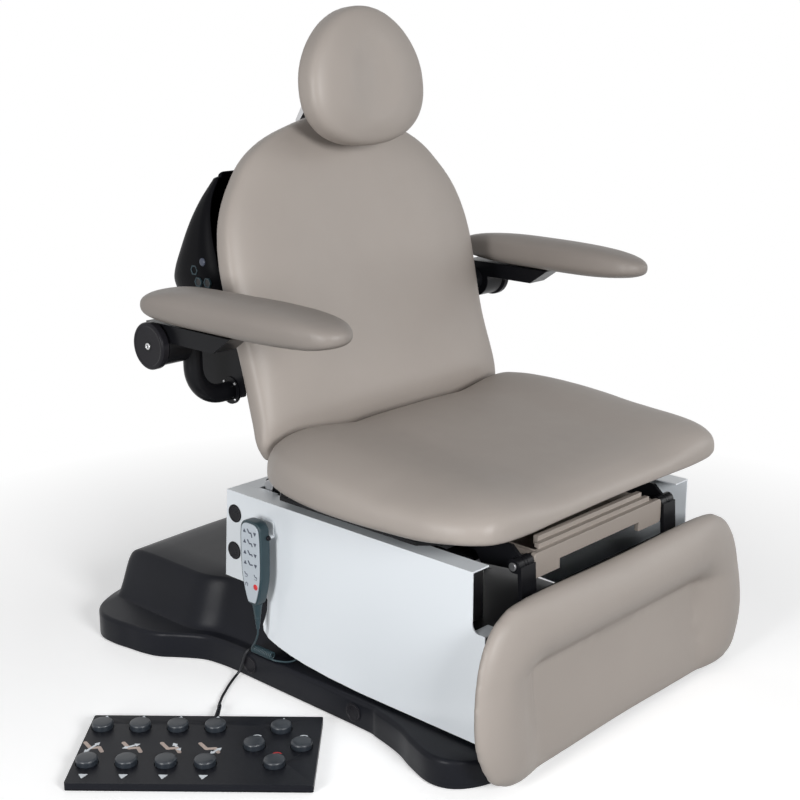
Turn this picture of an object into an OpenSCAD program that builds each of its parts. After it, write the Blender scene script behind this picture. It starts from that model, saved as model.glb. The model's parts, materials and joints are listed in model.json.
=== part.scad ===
// Powered procedure chair: lifting column, tilting seat, reclining back, leg rest, two arms,
// head rest, treatment tray, hand control and foot control.
// Millimetres, +Z up. The origin is on the floor under the lifting column. The chair faces -Y,
// so the occupant's right side is -X.

/* [Base] */
// Width between the straight sides of the moulded base
base_w = 650; // [640:2:670]
// Reach of the base in front of the column
base_front = 440; // [430:2:442]
// Reach of the base behind the column
base_rear = 590; // [570:2:620]
// How far each front corner flares out
base_front_flare = 53; // [40:1:60]
// How far each rear lobe flares out
base_rear_flare = 90; // [75:1:100]
// Height of the base's side wall
base_side_h = 52; // [48:1:53]
// Height of the rear hump
base_hump_h = 150; // [120:1:155]
// Thickness of the steel floor plate
floor_plate_t = 8; // [6:1:10]

/* [Lifting column] */
// Width of the outer column stage
column_w = 200; // [180:2:220]
// Depth of the outer column stage
column_d = 160; // [150:2:180]
// Wall of each column stage
column_wall = 6; // [4:1:7]
// Length of each column stage
stage_len = 288; // [270:2:290]
// Running gap between the stages
stage_gap = 0.4; // [0.3:0.1:0.6]

/* [Box cover] */
// Width over the two side covers
box_w = 620; // [610:2:626]
// Height of the top flange above the floor
box_top = 350; // [346:1:352]
// Front edge of the side covers
box_front = 385; // [375:1:388]
// Rear edge of the box at its top
box_rear = 199; // [194:1:204]
// Sheet thickness of the covers
sheet_t = 2.5; // [2:0.5:3]
// Width of the inward top flange
flange_w = 40; // [30:1:42]

/* [Seat] */
// Greatest width of the seat cushion
seat_w = 772; // [740:4:780]
// Length of the seat cushion
seat_len = 522; // [510:2:524]
// Height of the seat's side rolls above the floor
seat_top = 486; // [476:1:488]
// Rear end of the seat cushion
seat_rear = 80; // [76:1:81]
// Thickness of the seat pan
pan_t = 8; // [6:1:8]
// Width of the seat pan
pan_w = 636; // [600:2:640]

/* [Back] */
// Greatest width of the back cushion
back_w = 638; // [620:2:644]
// Height of the back cushion along its own face
back_h = 604; // [590:2:606]
// Lean of the back from upright in degrees
back_lean = 15.6; // [15.4:0.2:16.6]
// Thickness of the back board
board_t = 8; // [6:1:10]
// Depth of the rear shell at its bulge
shell_depth = 198; // [150:2:200]

/* [Head rest] */
// Width of the head cushion
head_w = 290; // [260:2:296]
// Height of the head cushion
head_h = 248; // [230:2:250]
// Height of the head cushion's centre above the floor
head_z = 1074; // [1070:1:1080]

/* [Leg rest] */
// Width of the leg cushion
leg_w = 768; // [740:2:776]
// Height of the leg cushion along its own face
leg_h = 291; // [270:1:292]
// Forward lean of the hanging leg rest in degrees
leg_lean = 4; // [4:0.5:8]
// Thickness of the leg cushion at its side rolls
leg_t = 64; // [58:1:70]

/* [Arms] */
// Length of an arm pad
arm_len = 458; // [440:2:470]
// Width of an arm pad
arm_w = 98; // [86:2:98]
// Thickness of an arm pad
arm_t = 64; // [50:1:66]
// Distance of each arm pad from the centre plane
arm_x = 413; // [411:1:416]
// Diameter of the arm's clamp knob
knob_d = 82; // [70:1:82]
// Diameter of the bent support tube
tube_d = 34; // [28:1:36]

/* [Tray] */
// Width of the tray's front plate
tray_w = 369; // [340:1:370]
// Depth of the tray from front to back
tray_d = 290; // [240:2:300]

/* [Hand control] */
// Length of the hand control
pendant_l = 158; // [150:1:158]
// Width of the hand control
pendant_w = 56; // [50:1:58]
// Thickness of the hand control
pendant_t = 24; // [20:1:26]

/* [Foot control] */
// Length of the foot control
pedal_l = 395; // [390:1:400]
// Depth of the foot control from front to back
pedal_w = 225; // [216:1:228]
// Height of the foot control's top above the floor
pedal_h = 16; // [15:1:20]
// Diameter of a foot button
button_d = 36; // [30:1:38]

/* [Hidden] */

$fn = 48;
// Overrun of every cut, and the small gap between pieces that meet but may move or are soft
cut = 1;
seat_gap = 0.3;

// Colours
black_plastic = [0.07, 0.07, 0.08];
black_steel = [0.1, 0.1, 0.11];
white_paint = [0.9, 0.91, 0.93];
taupe = [0.6, 0.57, 0.53];
slate = [0.25, 0.3, 0.32];
steel = [0.7, 0.7, 0.72];

// Base: stations along Y as shares. Each has the share of the front or rear reach, of the flare,
// of the side wall's height and of the hump's rise above it.
base_station_shares = [[-1, -1.3, 0.8, 0], [-0.982, -0.28, 0.9, 0], [-0.942, 0.47, 0.96, 0],
    [-0.882, 0.91, 1, 0], [-0.8, 1, 1, 0], [-0.69, 0.72, 1, 0], [-0.585, 0.36, 1, 0],
    [-0.445, 0.09, 1, 0], [-0.36, 0, 1, 0], [0.06, 0, 1, 0], [0.12, 0, 1, 0.1],
    [0.18, 0, 1, 0.4], [0.24, 0, 1, 0.72], [0.3, 0, 1, 0.92], [0.36, 0.03, 1, 1],
    [0.425, 0.12, 1, 1], [0.49, 0.39, 1, 1], [0.55, 0.68, 1, 1], [0.61, 0.81, 1, 1],
    [0.67, 0.87, 1, 1], [0.73, 0.93, 1, 1], [0.8, 0.92, 1, 0.99], [0.855, 0.75, 1, 0.95],
    [0.89, 0.5, 1, 0.84], [0.93, 0, 0.97, 0.56], [0.965, -0.7, 0.93, 0.26],
    [0.99, -1.55, 0.88, 0.08], [1, -2.15, 0.84, 0]];
floor_gap = 3;
base_edge_r = 8;
ledge_w = 14;
hump_run = 46;
hump_foot_out = 11;
hump_steps = 6;
hump_camber_share = 0.06;

// Steel floor plate, its rails and the foot flange of the column
floor_plate_w = 540;
floor_plate_front = 395;
floor_plate_rear = 505;
floor_plate_corner = 60;
rail_w = 40;
rail_h = 28;
rail_x = 230;
foot_flange_t = 10;
foot_flange_rim = 24;
bolt_r = 6;
bolt_head_h = 5;

plug_r = 17;
plug_t = 1.6;
plug_stem_r = 11;
plug_stem_l = 7;
plug_y = [132, -136];
plug_z = 27;

stage_r = 16;
stage_rise = 5;
column_base_z = floor_plate_t + foot_flange_t;
head_base_z = column_base_z + 2 * stage_rise + stage_len;
drive_r = 34;
drive_flange_r = 44;
drive_spindle_r = 11;

inlet_w = 48;
inlet_h = 30;
inlet_d = 34;
inlet_flange = 5;
inlet_flange_t = 2;
inlet_wall = 3;

// Box cover outlines
rear_slope = 11;
cover_low_z = 58;
cover_rear_z = 180;
cover_curve = [[112, 180], [101, 174], [96, 162], [98, 142], [104, 124], [110, 110], [108, 98], [96, 87],
    [72, 79], [40, 72], [0, 66], [-60, 61], [-140, 58]];
notch_z = 249;
notch_r = 14;
nose_y = 412;
seam_gap = 0.4;
top_plate_front = 111;
ear_slot_w = 68;
ear_slot_out = 11;
ear_slot_rear = 162;
cover_plug_y = [178, 183];
cover_plug_z = [308, 235];

// Lift head: the welded frame on the inner stage
head_plate_t = 8;
head_bar_w = 30;
head_bar_h = 24;
head_bar_y = [-250, 90];
head_side_set = 57;
head_side_x = box_w / 2 - head_side_set;
head_side_w = 20;
head_side_front = 330;
ear_t = 8;
tilt_y = 140;
tilt_z = 357;
tilt_boss_r = 14;
pin_r = 7;
pin_gap = 0.05;
pin_head_r = 11;
pin_head_t = 4;

control_w = 150;
control_d = 136;
control_h = 196;
control_side_gap = 5.5;
control_x = -(box_w / 2 - sheet_t - control_side_gap - control_w / 2);
socket_r = 9;
socket_l = 30;
gland_l = 8;

// Seat frame: side plates, cross tubes, rear uprights and tray runners
frame_side_gap = 48;
frame_x = head_side_x - frame_side_gap;
frame_t = 6;
frame_front_z = 318;
frame_low_z = 344;
frame_nose_y = 300;
leg_pivot_y = -398;
leg_pivot_z = 338;
leg_boss_r = 12;
leg_pin_r = 5;
leg_pin_head = 7;
cross_r = 6;
cross_drop = 1;
frame_nose_run = 18;
rear_tube_shoulder = 8;
cross_y = [-270, 20];
rear_tube_r = 12;
rear_tube_reach = 16;
rear_tube_x = frame_x + rear_tube_reach;
recline_y = 130;
recline_z = 385;
recline_boss_r = 14;
pan_front = 302;
pan_rear = 78;
pan_z = 365.7;
pan_corner = 30;
runner_w = 28;
runner_front = -383;
runner_t = 7;
runner_z = 334;

seat_edge_z = 412;
seat_dish = 14;
seat_rear_lift = 34;
seat_arch_share = 0.85;
seat_arch_w_share = 0.62;
seat_arch_start_share = 0.72;
seat_arch_run_share = 0.25;
seat_lift_start_share = 0.55;
seat_lift_run_share = 0.35;
seat_roll_share = 0.66;
seat_outline_shares = [[0, 0], [0.45, 0], [0.82, 0.02], [0.885, 0.08], [0.965, 0.2], [0.985, 0.35],
    [1, 0.5],
    [0.995, 0.65], [0.96, 0.8], [0.897, 0.92], [0.79, 0.985], [0.4, 1], [0, 1]];

tray_face_y = -409;
tray_face_t = 10;
tray_face_low = 306;
tray_face_top = 350;
tray_face_r = 8;
tray_cut_w = 230;
tray_cut_h = 17;
tray_body_w = 340;
tray_lip_x = 183;
tray_body_low = 320;
tray_wall = 4;
tray_lip_t = 4;
tray_rim_h = 8;
tray_rim_set = 10;

leg_board_t = 4;
leg_board_w = 400;
leg_board_top = 50;
leg_board_low = 290;
leg_board_y = 15;
leg_bar_w = 38;
leg_bar_t = 8;
leg_top = 36;
leg_rear_t = 22;
leg_channel = 20;
leg_channel_w_share = 0.72;
leg_channel_top_share = 0.75;
leg_channel_run_share = 0.9;
leg_roll_share = 0.8;
clevis_gap = 1;
leg_outline_shares = [[0, 0], [0.7, -0.01], [0.885, 0.04], [0.955, 0.14], [1, 0.3], [1, 0.5], [0.97, 0.7],
    [0.915, 0.85], [0.825, 0.95], [0.65, 1], [0, 1]];

// Back frame and what it carries, in the back's own frame: local Y up the back, local Z forward.
// Its origin is the middle of the cushion's foot.
back_y = 86;
back_z = 423;
back_front_t = 42;
back_rear_t = 37;
back_channel = 8;
back_channel_w_share = 0.6;
back_channel_foot_share = 0.3;
back_channel_head_share = 0.4;
back_foot_taper = 88;
back_foot_taper_share = 0.95;
back_roll_share = 0.5;
back_outline_shares = [[0, 0], [0.79, 0.004], [0.985, 0.05], [0.955, 0.15], [0.96, 0.29], [1, 0.44],
    [0.997, 0.59], [0.94, 0.715], [0.822, 0.815], [0.66, 0.897], [0.405, 0.958], [0, 1]];
board_share = 0.86;
side_plate_set = 17;
side_plate_t = 6;
side_plate_points = [[119, -112], [126, -50], [126, 0], [290, 0], [290, -40], [165, -112]];
hinge_arm_set = 19;
hinge_arm_x = frame_x + hinge_arm_set;
hinge_gusset = 16;
hinge_gusset_h = 70;
hinge_gusset_in = 10;
hinge_arm_t = 8;
hinge_arm_top = 190;
foot_rail_y = 70;
back_tab_y = [150, 250];
back_rail_d = 26;
hinge_arm_d = 10;
arm_flange_z = 529;
guide_w = 60;
guide_h = 90;
guide_d = 26;
guide_y = 440;
guide_post_gap = 0.3;

// Rear shell stations along the back: shares of its height, half width and depth
shell_station_shares = [[0, 0.84, 0.19], [0.1, 0.85, 0.3], [0.23, 0.87, 0.47], [0.36, 0.9, 0.67],
    [0.46, 0.91, 0.84], [0.52, 0.92, 0.93], [0.59, 0.98, 0.99], [0.65, 1, 1], [0.7, 1, 0.93],
    [0.75, 1, 0.8], [0.82, 0.99, 0.62], [0.88, 0.97, 0.46], [0.94, 0.93, 0.3], [1, 0.86, 0.16]];
shell_w = 584;
side_plate_x = shell_w / 2 - side_plate_set;
shell_low = 62;
shell_h = 448;
shell_wall = 3;
shell_corner_share = 0.4;
hex_r = 9;
hex_depth = 4;

post_w = 40;
post_t = 10;
post_len = 300;
post_top = 640;
head_hinge_z = -14;
post_crank = 34;
head_lean = 7;
head_y = 156;
head_front_t = 45;
head_rear_t = 28;
head_egg_share = 0.12;
head_roll_share = 0.5;
head_hinge_r = 12;
head_hinge_w = 34;
head_link_t = 8;
head_plate = 90;
link_rise = 30;
link_drop = 12;
link_back = 8;
link_front = 2;
head_crease = 4;
pad_plate_t = 4;

arm_pivot_y = 210;
arm_pivot_z = 641;
arm_edge_z = 709;
arm_front = 209;
arm_toe = 2.4;
arm_slope = 4.6;
arm_low_share = 0.45;
arm_roll_share = 0.84;
drum_r = 37;
drum_set = 27;
drum_w = 50;
tube_set = 93;
tube_x = side_plate_x + tube_set;
drum_in = tube_x + drum_set;
drum_out = drum_in + drum_w;
tube_bend_r = 60;
tube_boss_r = 23;
spindle_r = 10;
arm_flange_r = 25;
arm_flange_t = 5;
channel_front = 62;
channel_low = 649;
channel_top = 679.4;
channel_chamfer = 44;
channel_rear = 236;
knob_t = 18;
knob_gap = 0.5;
knob_screw_r = 6;
knob_screw_t = 2;

// Hand control
pendant_y = 92;
pendant_top = 325;
pendant_stand = 16;
pendant_x = box_w / 2 + pendant_stand;
pendant_r = 16;
pendant_tip_w = 26;
pendant_bevel = 6;
keypad_t = 1;
keypad_rim = 5;
boot_top_r = 10;
boot_tip_r = 3.4;
boot_len = 50;
hook_w = 30;
hook_h = 30;
hook_t = 3;
hook_low = 288;
hook_lip = 5;

// Curly cord of the hand control: its straight ends, its curls and its route. X is measured from
// the face of the box cover.
cord_d = 3.6;
curl_d = 16;
curl_pitch = 4.6;
curls = 11;
curl_rings = 8;
curl_x = -9.5;
curl_z = 61;
curl_start_y = 126;
curl_start_angle = 200;
cord_sides = 6;
cord_out = [[-28, 92, 117], [-28, 92, 113], [-27.5, 94, 104], [-26, 100, 92], [-23, 109, 80],
    [-19, 119, 70]];
cord_home = [[-14, 68, 57.5], [-8, 58, 56], [1, 48, 55.2], [10, 40, 57], [15, 33, 64], [17, 30, 74],
    [17.5, 30, 84], [17.5, 30, 92]];

// Foot control and its cord
pedal_set = 248;
pedal_x = -base_w / 2 - pedal_set;
pedal_y = -23;
pedal_turn = -48;
pedal_corner_r = 4;
pedal_wall = 2;
pedal_gap = 3;
pedal_foot_r = 9;
pedal_foot_inset = 20;
row_u = [-174.5, -110.5, -46.5, 17.5];
row_v = [70, -49];
cluster_u = 129.5;
cluster_v = 9;
cluster_du = 39.2;
cluster_dv = 58;
button_h = 13;
button_dome = 3;
button_well = 4;
button_travel = 3;
button_gap = 0.4;
button_rim_gap = 1;
stem_r = 6;
stem_gap = 0.2;
boot_v = 45;
boot_u = 12;
foot_boot_z = 10;
foot_cord_d = 5;
foot_cord_sides = 8;
foot_cord_lead = 6;
// Its route, with X measured from the side of the base
foot_cord_route = [[-121, 79, 5], [-113, 88, 3], [-100, 99, 2.7], [-85, 111, 2.7], [-69, 122, 2.7],
    [-53, 133, 2.7], [-37, 143, 2.7], [-24, 150, 3.4], [-14, 153, 6.5], [-8, 152, 12], [-6, 150, 19],
    [-5.2, 147, 27], [-4.8, 144, 36], [-4.5, 141, 44], [-3.5, 138, 50.5], [0, 136, 55],
    [5, 135.5, 56.3], [11, 135.5, 56.3]];
buttons = concat([for (v = row_v) for (u = row_u) [u, v]],
    [[cluster_u, cluster_v + cluster_dv], [cluster_u - cluster_du, cluster_v],
    [cluster_u + cluster_du, cluster_v], [cluster_u, cluster_v - cluster_dv]]);

// Shared shapes

// A bar of rounded rectangular section standing along Z
module rounded_bar(w, d, r, h) {
    linear_extrude(h) {
        square([w - 2 * r, d], center = true);
        square([w, d - 2 * r], center = true);
        for (x = [-1, 1], y = [-1, 1]) translate([x * (w / 2 - r), y * (d / 2 - r)]) circle(r);
    }
}

module along_x(x0, x1, y, z) {
    translate([x0, y, z]) rotate([0, 90, 0]) linear_extrude(x1 - x0) children();
}

// Both sides of the centre plane
module both_sides() {
    children();
    mirror([1, 0, 0]) children();
}

// A plate standing in the Y-Z plane between two distances from the centre plane
module side_slab(x0, x1) {
    translate([x0, 0, 0]) rotate([90, 0, 90]) linear_extrude(x1 - x0) children();
}

// Faces of a body lofted through rings of n points each
function loft_faces(rings, n) = concat(
    [[for (i = [n - 1:-1:0]) i]],
    [for (k = [0:rings - 2], i = [0:n - 1]) [k * n + i, k * n + (i + 1) % n, (k + 1) * n + (i + 1) % n]],
    [for (k = [0:rings - 2], i = [0:n - 1]) [k * n + i, (k + 1) * n + (i + 1) % n, (k + 1) * n + i]],
    [[for (i = [0:n - 1]) (rings - 1) * n + i]]);

// Lame curve helper: the sign kept, the size raised to a power
function powered(v, e) = sign(v) * pow(abs(v), e);

// Closed smooth curve through hand-chosen points of the right half, from the middle of the foot
// to the middle of the head, and their mirror image
function between(a, b, c, d, t) = (2 * b + (c - a) * t + (2 * a - 5 * b + 4 * c - d) * t * t
    + (3 * b - a - 3 * c + d) * t * t * t) / 2;
function closed_curve(right, steps) = let (
    all = concat(right, [for (i = [len(right) - 2:-1:1]) [-right[i].x, right[i].y]]), n = len(all))
    [for (i = [0:n - 1], k = [0:steps - 1])
        between(all[(i + n - 1) % n], all[i], all[(i + 1) % n], all[(i + 2) % n], k / steps)];
function scaled_outline(shares, w, h) = closed_curve([for (p = shares) [p.x * w / 2, (p.y - 0.5) * h]],
    2);

// Padded form over an outline round the origin of its own X-Y plane. Front and rear give its
// height over any place of the outline, and the sides roll in with a Lame curve.
module padded(outline, front, rear, lats, roll_share) {
    around = len(outline);
    lat = [for (i = [1:lats]) 90 * i / lats];
    upper = [for (f = lat, p = outline) let (q = p * pow(sin(f), roll_share))
        [q.x, q.y, front(q.x, q.y) * pow(max(cos(f), 0), roll_share)]];
    lower = [for (i = [lats - 2:-1:0], p = outline) let (q = p * pow(sin(lat[i]), roll_share))
        [q.x, q.y, -rear(q.x, q.y) * pow(cos(lat[i]), roll_share)]];
    rows = 2 * lats - 1;
    last = 1 + rows * around;
    points = concat([[0, 0, front(0, 0)]], upper, lower, [[0, 0, -rear(0, 0)]]);
    faces = concat(
        [for (j = [0:around - 1]) [0, 1 + (j + 1) % around, 1 + j]],
        [for (k = [0:rows - 2], j = [0:around - 1])
            [1 + k * around + j, 1 + k * around + (j + 1) % around, 1 + (k + 1) * around + j]],
        [for (k = [0:rows - 2], j = [0:around - 1]) [1 + k * around + (j + 1) % around,
            1 + (k + 1) * around + (j + 1) % around, 1 + (k + 1) * around + j]],
        [for (j = [0:around - 1]) [1 + (rows - 1) * around + j,
            1 + (rows - 1) * around + (j + 1) % around, last]]);
    polyhedron(points, faces);
}

// Tube swept along a path: the section turns with the path without twisting
function unit(v) = v / norm(v);
function heading(path, i) = unit(path[min(i + 1, len(path) - 1)] - path[max(i - 1, 0)]);
function square_to(v, t) = unit(v - (v * t) * t);
function sweep_points(path, r, sides) = let (
    start = square_to(abs(heading(path, 0).z) > 0.7 ? [1, 0, 0] : [0, 0, 1], heading(path, 0)),
    normals = [for (i = 0, n = start; i < len(path);
        i = i + 1, n = i < len(path) ? square_to(n, heading(path, i)) : n) n])
    [for (i = [0:len(path) - 1]) let (n = normals[i], b = cross(heading(path, i), n))
        for (k = [0:sides - 1]) path[i] + r * (cos(360 * k / sides) * n - sin(360 * k / sides) * b)];
module swept(path, r, sides) {
    polyhedron(sweep_points(path, r, sides), loft_faces(len(path), sides));
}

// Base

function base_reach(s) = s < 0 ? s * base_front : s * base_rear;
function base_half(s) = base_w / 2 + s[1] * (s[0] < 0 ? base_front_flare : base_rear_flare);

// Right half of a section: side wall, rounded edge, ledge and the rising side of the hump
function cover_half(w, side, rise) = let (foot = min(w - base_edge_r - ledge_w,
    base_w / 2 + hump_foot_out))
    concat([[w, floor_gap], [w, side - base_edge_r],
    [w - base_edge_r * (1 - cos(45)), side - base_edge_r * (1 - sin(45))], [w - base_edge_r, side]],
    [for (i = [0:hump_steps]) let (t = i / hump_steps)
        [foot - hump_run * t, side + rise * (1 - cos(180 * t)) / 2]],
    [[(foot - hump_run) / 2, side + rise * (1 + hump_camber_share / 2)],
    [0, side + rise * (1 + hump_camber_share)]]);
function cover_ring(y, half) = concat([for (p = half) [p.x, y, p.y]],
    [for (i = [len(half) - 2:-1:0]) [-half[i].x, y, half[i].y]]);

module base_cover() {
    rings = [for (s = base_station_shares) let (side = base_side_h * s[2])
        cover_ring(base_reach(s[0]), cover_half(base_half(s), side, (base_hump_h - base_side_h) * s[3]))];
    n = len(rings[0]);
    color(black_plastic) difference() {
        polyhedron([for (r = rings, p = r) p], loft_faces(len(rings), n));
        pocket = floor_plate_t + rail_h + seat_gap;
        translate([-floor_plate_w / 2 - cut, -floor_plate_front - cut, -cut])
            cube([floor_plate_w + 2 * cut, floor_plate_front + floor_plate_rear + 2 * cut, pocket + cut]);
        rounded_bar(column_w + 2 * stage_gap, column_d + 2 * stage_gap, stage_r + stage_gap,
            2 * base_hump_h);
        both_sides() for (y = plug_y) along_x(base_w / 2 - plug_stem_l - cut, base_w / 2 + cut, y, plug_z)
            circle(plug_stem_r + seat_gap);
        translate([-inlet_w / 2 - seat_gap, base_rear - inlet_d - seat_gap, inlet_low() - seat_gap])
            cube([inlet_w + 2 * seat_gap, inlet_d + cut, inlet_h + 2 * seat_gap]);
    }
}

module base_frame() {
    w = floor_plate_w / 2;
    f = floor_plate_front;
    r = floor_plate_rear;
    c = floor_plate_corner;
    color(black_steel) {
        linear_extrude(floor_plate_t) polygon([[-w + c, -f], [w - c, -f], [w, -f + c], [w, r - c],
            [w - c, r], [-w + c, r], [-w, r - c], [-w, -f + c]]);
        both_sides() translate([rail_x - rail_w / 2, -f + c, floor_plate_t])
            cube([rail_w, f + r - 2 * c, rail_h]);
        for (y = [-f + c, r - c - rail_w]) translate([-rail_x + rail_w / 2, y, floor_plate_t])
            cube([2 * rail_x - rail_w, rail_w, rail_h]);
        translate([0, 0, floor_plate_t]) rounded_bar(column_w + 2 * foot_flange_rim,
            column_d + 2 * foot_flange_rim, stage_r + foot_flange_rim / 2, foot_flange_t);
        for (x = [-1, 1], y = [-1, 1])
            translate([x * (column_w + foot_flange_rim) / 2, y * (column_d + foot_flange_rim) / 2,
                column_base_z])
                cylinder(r = bolt_r, h = bolt_head_h, $fn = 6);
    }
}

module round_plug(x, y, z) {
    along_x(x - plug_stem_l, x, y, z) circle(plug_stem_r);
    along_x(x, x + plug_t, y, z) circle(plug_r);
}

module base_plugs() {
    color(black_plastic) both_sides() for (y = plug_y) round_plug(base_w / 2 + seat_gap, y, plug_z);
}

// One stage of the column: 0 is the outer one
module column_stage(i) {
    w = column_w - 2 * i * (column_wall + stage_gap);
    d = column_d - 2 * i * (column_wall + stage_gap);
    translate([0, 0, column_base_z + i * stage_rise]) difference() {
        rounded_bar(w, d, stage_r - i * column_wall / 2, stage_len);
        translate([0, 0, -cut]) rounded_bar(w - 2 * column_wall, d - 2 * column_wall,
            stage_r - (i + 1) * column_wall / 2, stage_len + 2 * cut);
    }
}
module column_outer() { color(steel) column_stage(0); }
module column_middle() { color(steel) column_stage(1); }
module column_inner() { color(steel) column_stage(2); }

// Gear motor on the floor flange with its spindle up the middle of the column
module lift_drive() {
    color(steel) translate([0, 0, column_base_z]) {
        cylinder(r = drive_flange_r, h = stage_rise);
        cylinder(r = drive_r, h = stage_len / 2);
        cylinder(r = drive_spindle_r, h = stage_len);
    }
}

function inlet_low() = (base_side_h - inlet_h) / 2;

module mains_inlet() {
    color(black_plastic) translate([0, base_rear, inlet_low()]) difference() {
        union() {
            translate([-inlet_w / 2, -inlet_d, 0]) cube([inlet_w, inlet_d, inlet_h]);
            translate([-inlet_w / 2 - inlet_flange, 0, -inlet_flange])
                cube([inlet_w + 2 * inlet_flange, inlet_flange_t, inlet_h + 2 * inlet_flange]);
        }
        translate([-inlet_w / 2 + 2 * inlet_wall, -inlet_d + 2 * inlet_wall, inlet_wall])
            cube([inlet_w - 4 * inlet_wall, inlet_d, inlet_h - 2 * inlet_wall]);
    }
}

// Grommet on the ledge where the foot control's cord enters the base
module ledge_gland() {
    color(black_plastic) translate(beside_base(foot_cord_route[len(foot_cord_route) - 1]))
        rotate([0, 90, 0])
        cylinder(r = foot_cord_d * 0.8, h = gland_l);
}

// Box cover

module cover_outline() {
    polygon(concat([[box_rear, box_top], [box_rear + rear_slope, cover_rear_z]], cover_curve,
        [[-nose_y, cover_low_z], [-nose_y, notch_z], [-box_front - notch_r, notch_z]],
        [for (a = [0:15:90]) [-box_front - notch_r * (1 - sin(a)), notch_z + notch_r * (1 - cos(a))]],
        [[-box_front, box_top]]));
}

// Side cover on the +X side: a folded sheet with an inward top flange
module side_cover() {
    x = box_w / 2;
    side_slab(x - sheet_t, x) cover_outline();
    translate([x - flange_w, -box_front, box_top - sheet_t])
        cube([flange_w, box_front + box_rear, sheet_t]);
    translate([x - flange_w, -nose_y, notch_z - sheet_t]) cube([flange_w, nose_y - box_front, sheet_t]);
}
module side_cover_left() { color(white_paint) side_cover(); }
module side_cover_right() { color(white_paint) mirror([1, 0, 0]) side_cover(); }

// Rear wall and the fixed rear part of the top, folded from one sheet
module rear_cover() {
    half = box_w / 2 - sheet_t - seam_gap;
    top_half = box_w / 2 - flange_w - seam_gap;
    low = [box_rear + rear_slope, cover_rear_z];
    color(white_paint) {
        side_slab(-half, half) polygon([[box_rear, box_top - sheet_t - seam_gap], low, low - [sheet_t, 0],
            [box_rear - sheet_t, box_top - sheet_t - seam_gap]]);
        difference() {
            translate([-top_half, top_plate_front, box_top - sheet_t])
                cube([2 * top_half, box_rear - top_plate_front, sheet_t]);
            both_sides() translate([head_side_x + ear_slot_out - ear_slot_w, top_plate_front - cut,
                box_top - sheet_t - cut])
                cube([ear_slot_w, ear_slot_rear - top_plate_front + cut, sheet_t + 2 * cut]);
        }
        translate([-top_half, box_rear - sheet_t, box_top - 2 * sheet_t])
            cube([2 * top_half, sheet_t, 2 * sheet_t]);
    }
}

module front_cover() {
    half = box_w / 2 - sheet_t - seam_gap;
    color(white_paint) translate([-half, -nose_y + sheet_t, cover_low_z])
        cube([2 * half, sheet_t, notch_z - sheet_t - seam_gap - cover_low_z]);
}

module cover_plugs() {
    color(black_plastic) both_sides() for (i = [0, 1])
        along_x(box_w / 2 + seat_gap, box_w / 2 + seat_gap + plug_t, cover_plug_y[i], cover_plug_z[i])
            circle(plug_r);
}

// Lift head

module lift_head() {
    inner_half = box_w / 2 - sheet_t - seat_gap;
    z = head_base_z;
    color(black_steel) {
        translate([-column_w / 2, -column_d / 2, z]) cube([column_w, column_d, head_plate_t]);
        translate([-inner_half, head_bar_y[0] - head_bar_w / 2, z - head_bar_h + cut])
            cube([2 * inner_half, head_bar_w, head_bar_h]);
        translate([-inner_half, head_bar_y[1] - head_bar_w / 2, z])
            cube([2 * inner_half, head_bar_w, head_bar_h]);
        both_sides() {
            translate([head_side_x - head_side_w / 2, -head_side_front, z])
                cube([head_side_w, head_side_front + tilt_y - tilt_boss_r, head_bar_h]);
            difference() {
                side_slab(head_side_x - ear_t / 2, head_side_x + ear_t / 2) union() {
                    translate([tilt_y, tilt_z]) circle(tilt_boss_r);
                    translate([tilt_y - 2 * tilt_boss_r, z]) square([3 * tilt_boss_r, tilt_z - z]);
                }
                along_x(head_side_x - ear_t, head_side_x + ear_t, tilt_y, tilt_z) circle(pin_r + pin_gap);
            }
            translate([inner_half / 2, -column_d / 2, z]) cube([head_bar_w, column_d, head_plate_t]);
        }
        for (y = [-column_d / 2 + head_bar_w / 2, column_d / 2 - head_bar_w / 2])
            translate([-head_side_x, y - head_bar_w / 2, z])
                cube([2 * head_side_x, head_bar_w, head_plate_t]);
    }
}

// Control box under the lift head, with the socket of the hand control's cord
module control_box() {
    z = head_base_z - control_h - seat_gap;
    end = beside_box(cord_home[len(cord_home) - 1]);
    color(black_plastic) {
        translate([control_x - control_w / 2, -control_d / 2, z]) cube([control_w, control_d, control_h]);
        translate(end) cylinder(r = socket_r, h = socket_l);
    }
}

// Hand control

module pendant_outline(inset) {
    w = pendant_w / 2 - inset;
    r = pendant_r - inset;
    hull() {
        for (s = [-1, 1]) translate([s * (w - r), pendant_top - inset - r]) circle(r, $fn = 32);
        for (s = [-1, 1]) translate([s * (w - r), pendant_top - pendant_l * 0.8]) circle(r, $fn = 32);
        for (s = [-1, 1]) translate([s * (pendant_tip_w / 2 - r / 3),
            pendant_top - pendant_l + inset + r / 3])
            circle(r / 3, $fn = 32);
    }
}

module pendant_slab(x0, x1, inset) {
    translate([-x1, pendant_y, 0]) rotate([90, 0, 90]) linear_extrude(x1 - x0) pendant_outline(inset);
}

module pendant_body() {
    x0 = pendant_x;
    x1 = pendant_x + pendant_t;
    color(slate) hull() {
        pendant_slab(x0, x0 + cut, pendant_bevel);
        pendant_slab(x0 + pendant_bevel, x1 - pendant_bevel / 2, 0);
        pendant_slab(x1 - cut, x1, pendant_bevel / 2);
    }
}

module pendant_keypad() {
    color(white_paint) pendant_slab(pendant_x + pendant_t, pendant_x + pendant_t + keypad_t, keypad_rim);
}

module pendant_boot() {
    tip = beside_box(cord_out[0]);
    color(slate) translate(tip) rotate_extrude()
        polygon([[0, 0], [boot_tip_r, 0], [boot_top_r, boot_len - seat_gap], [0, boot_len - seat_gap]]);
}

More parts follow.
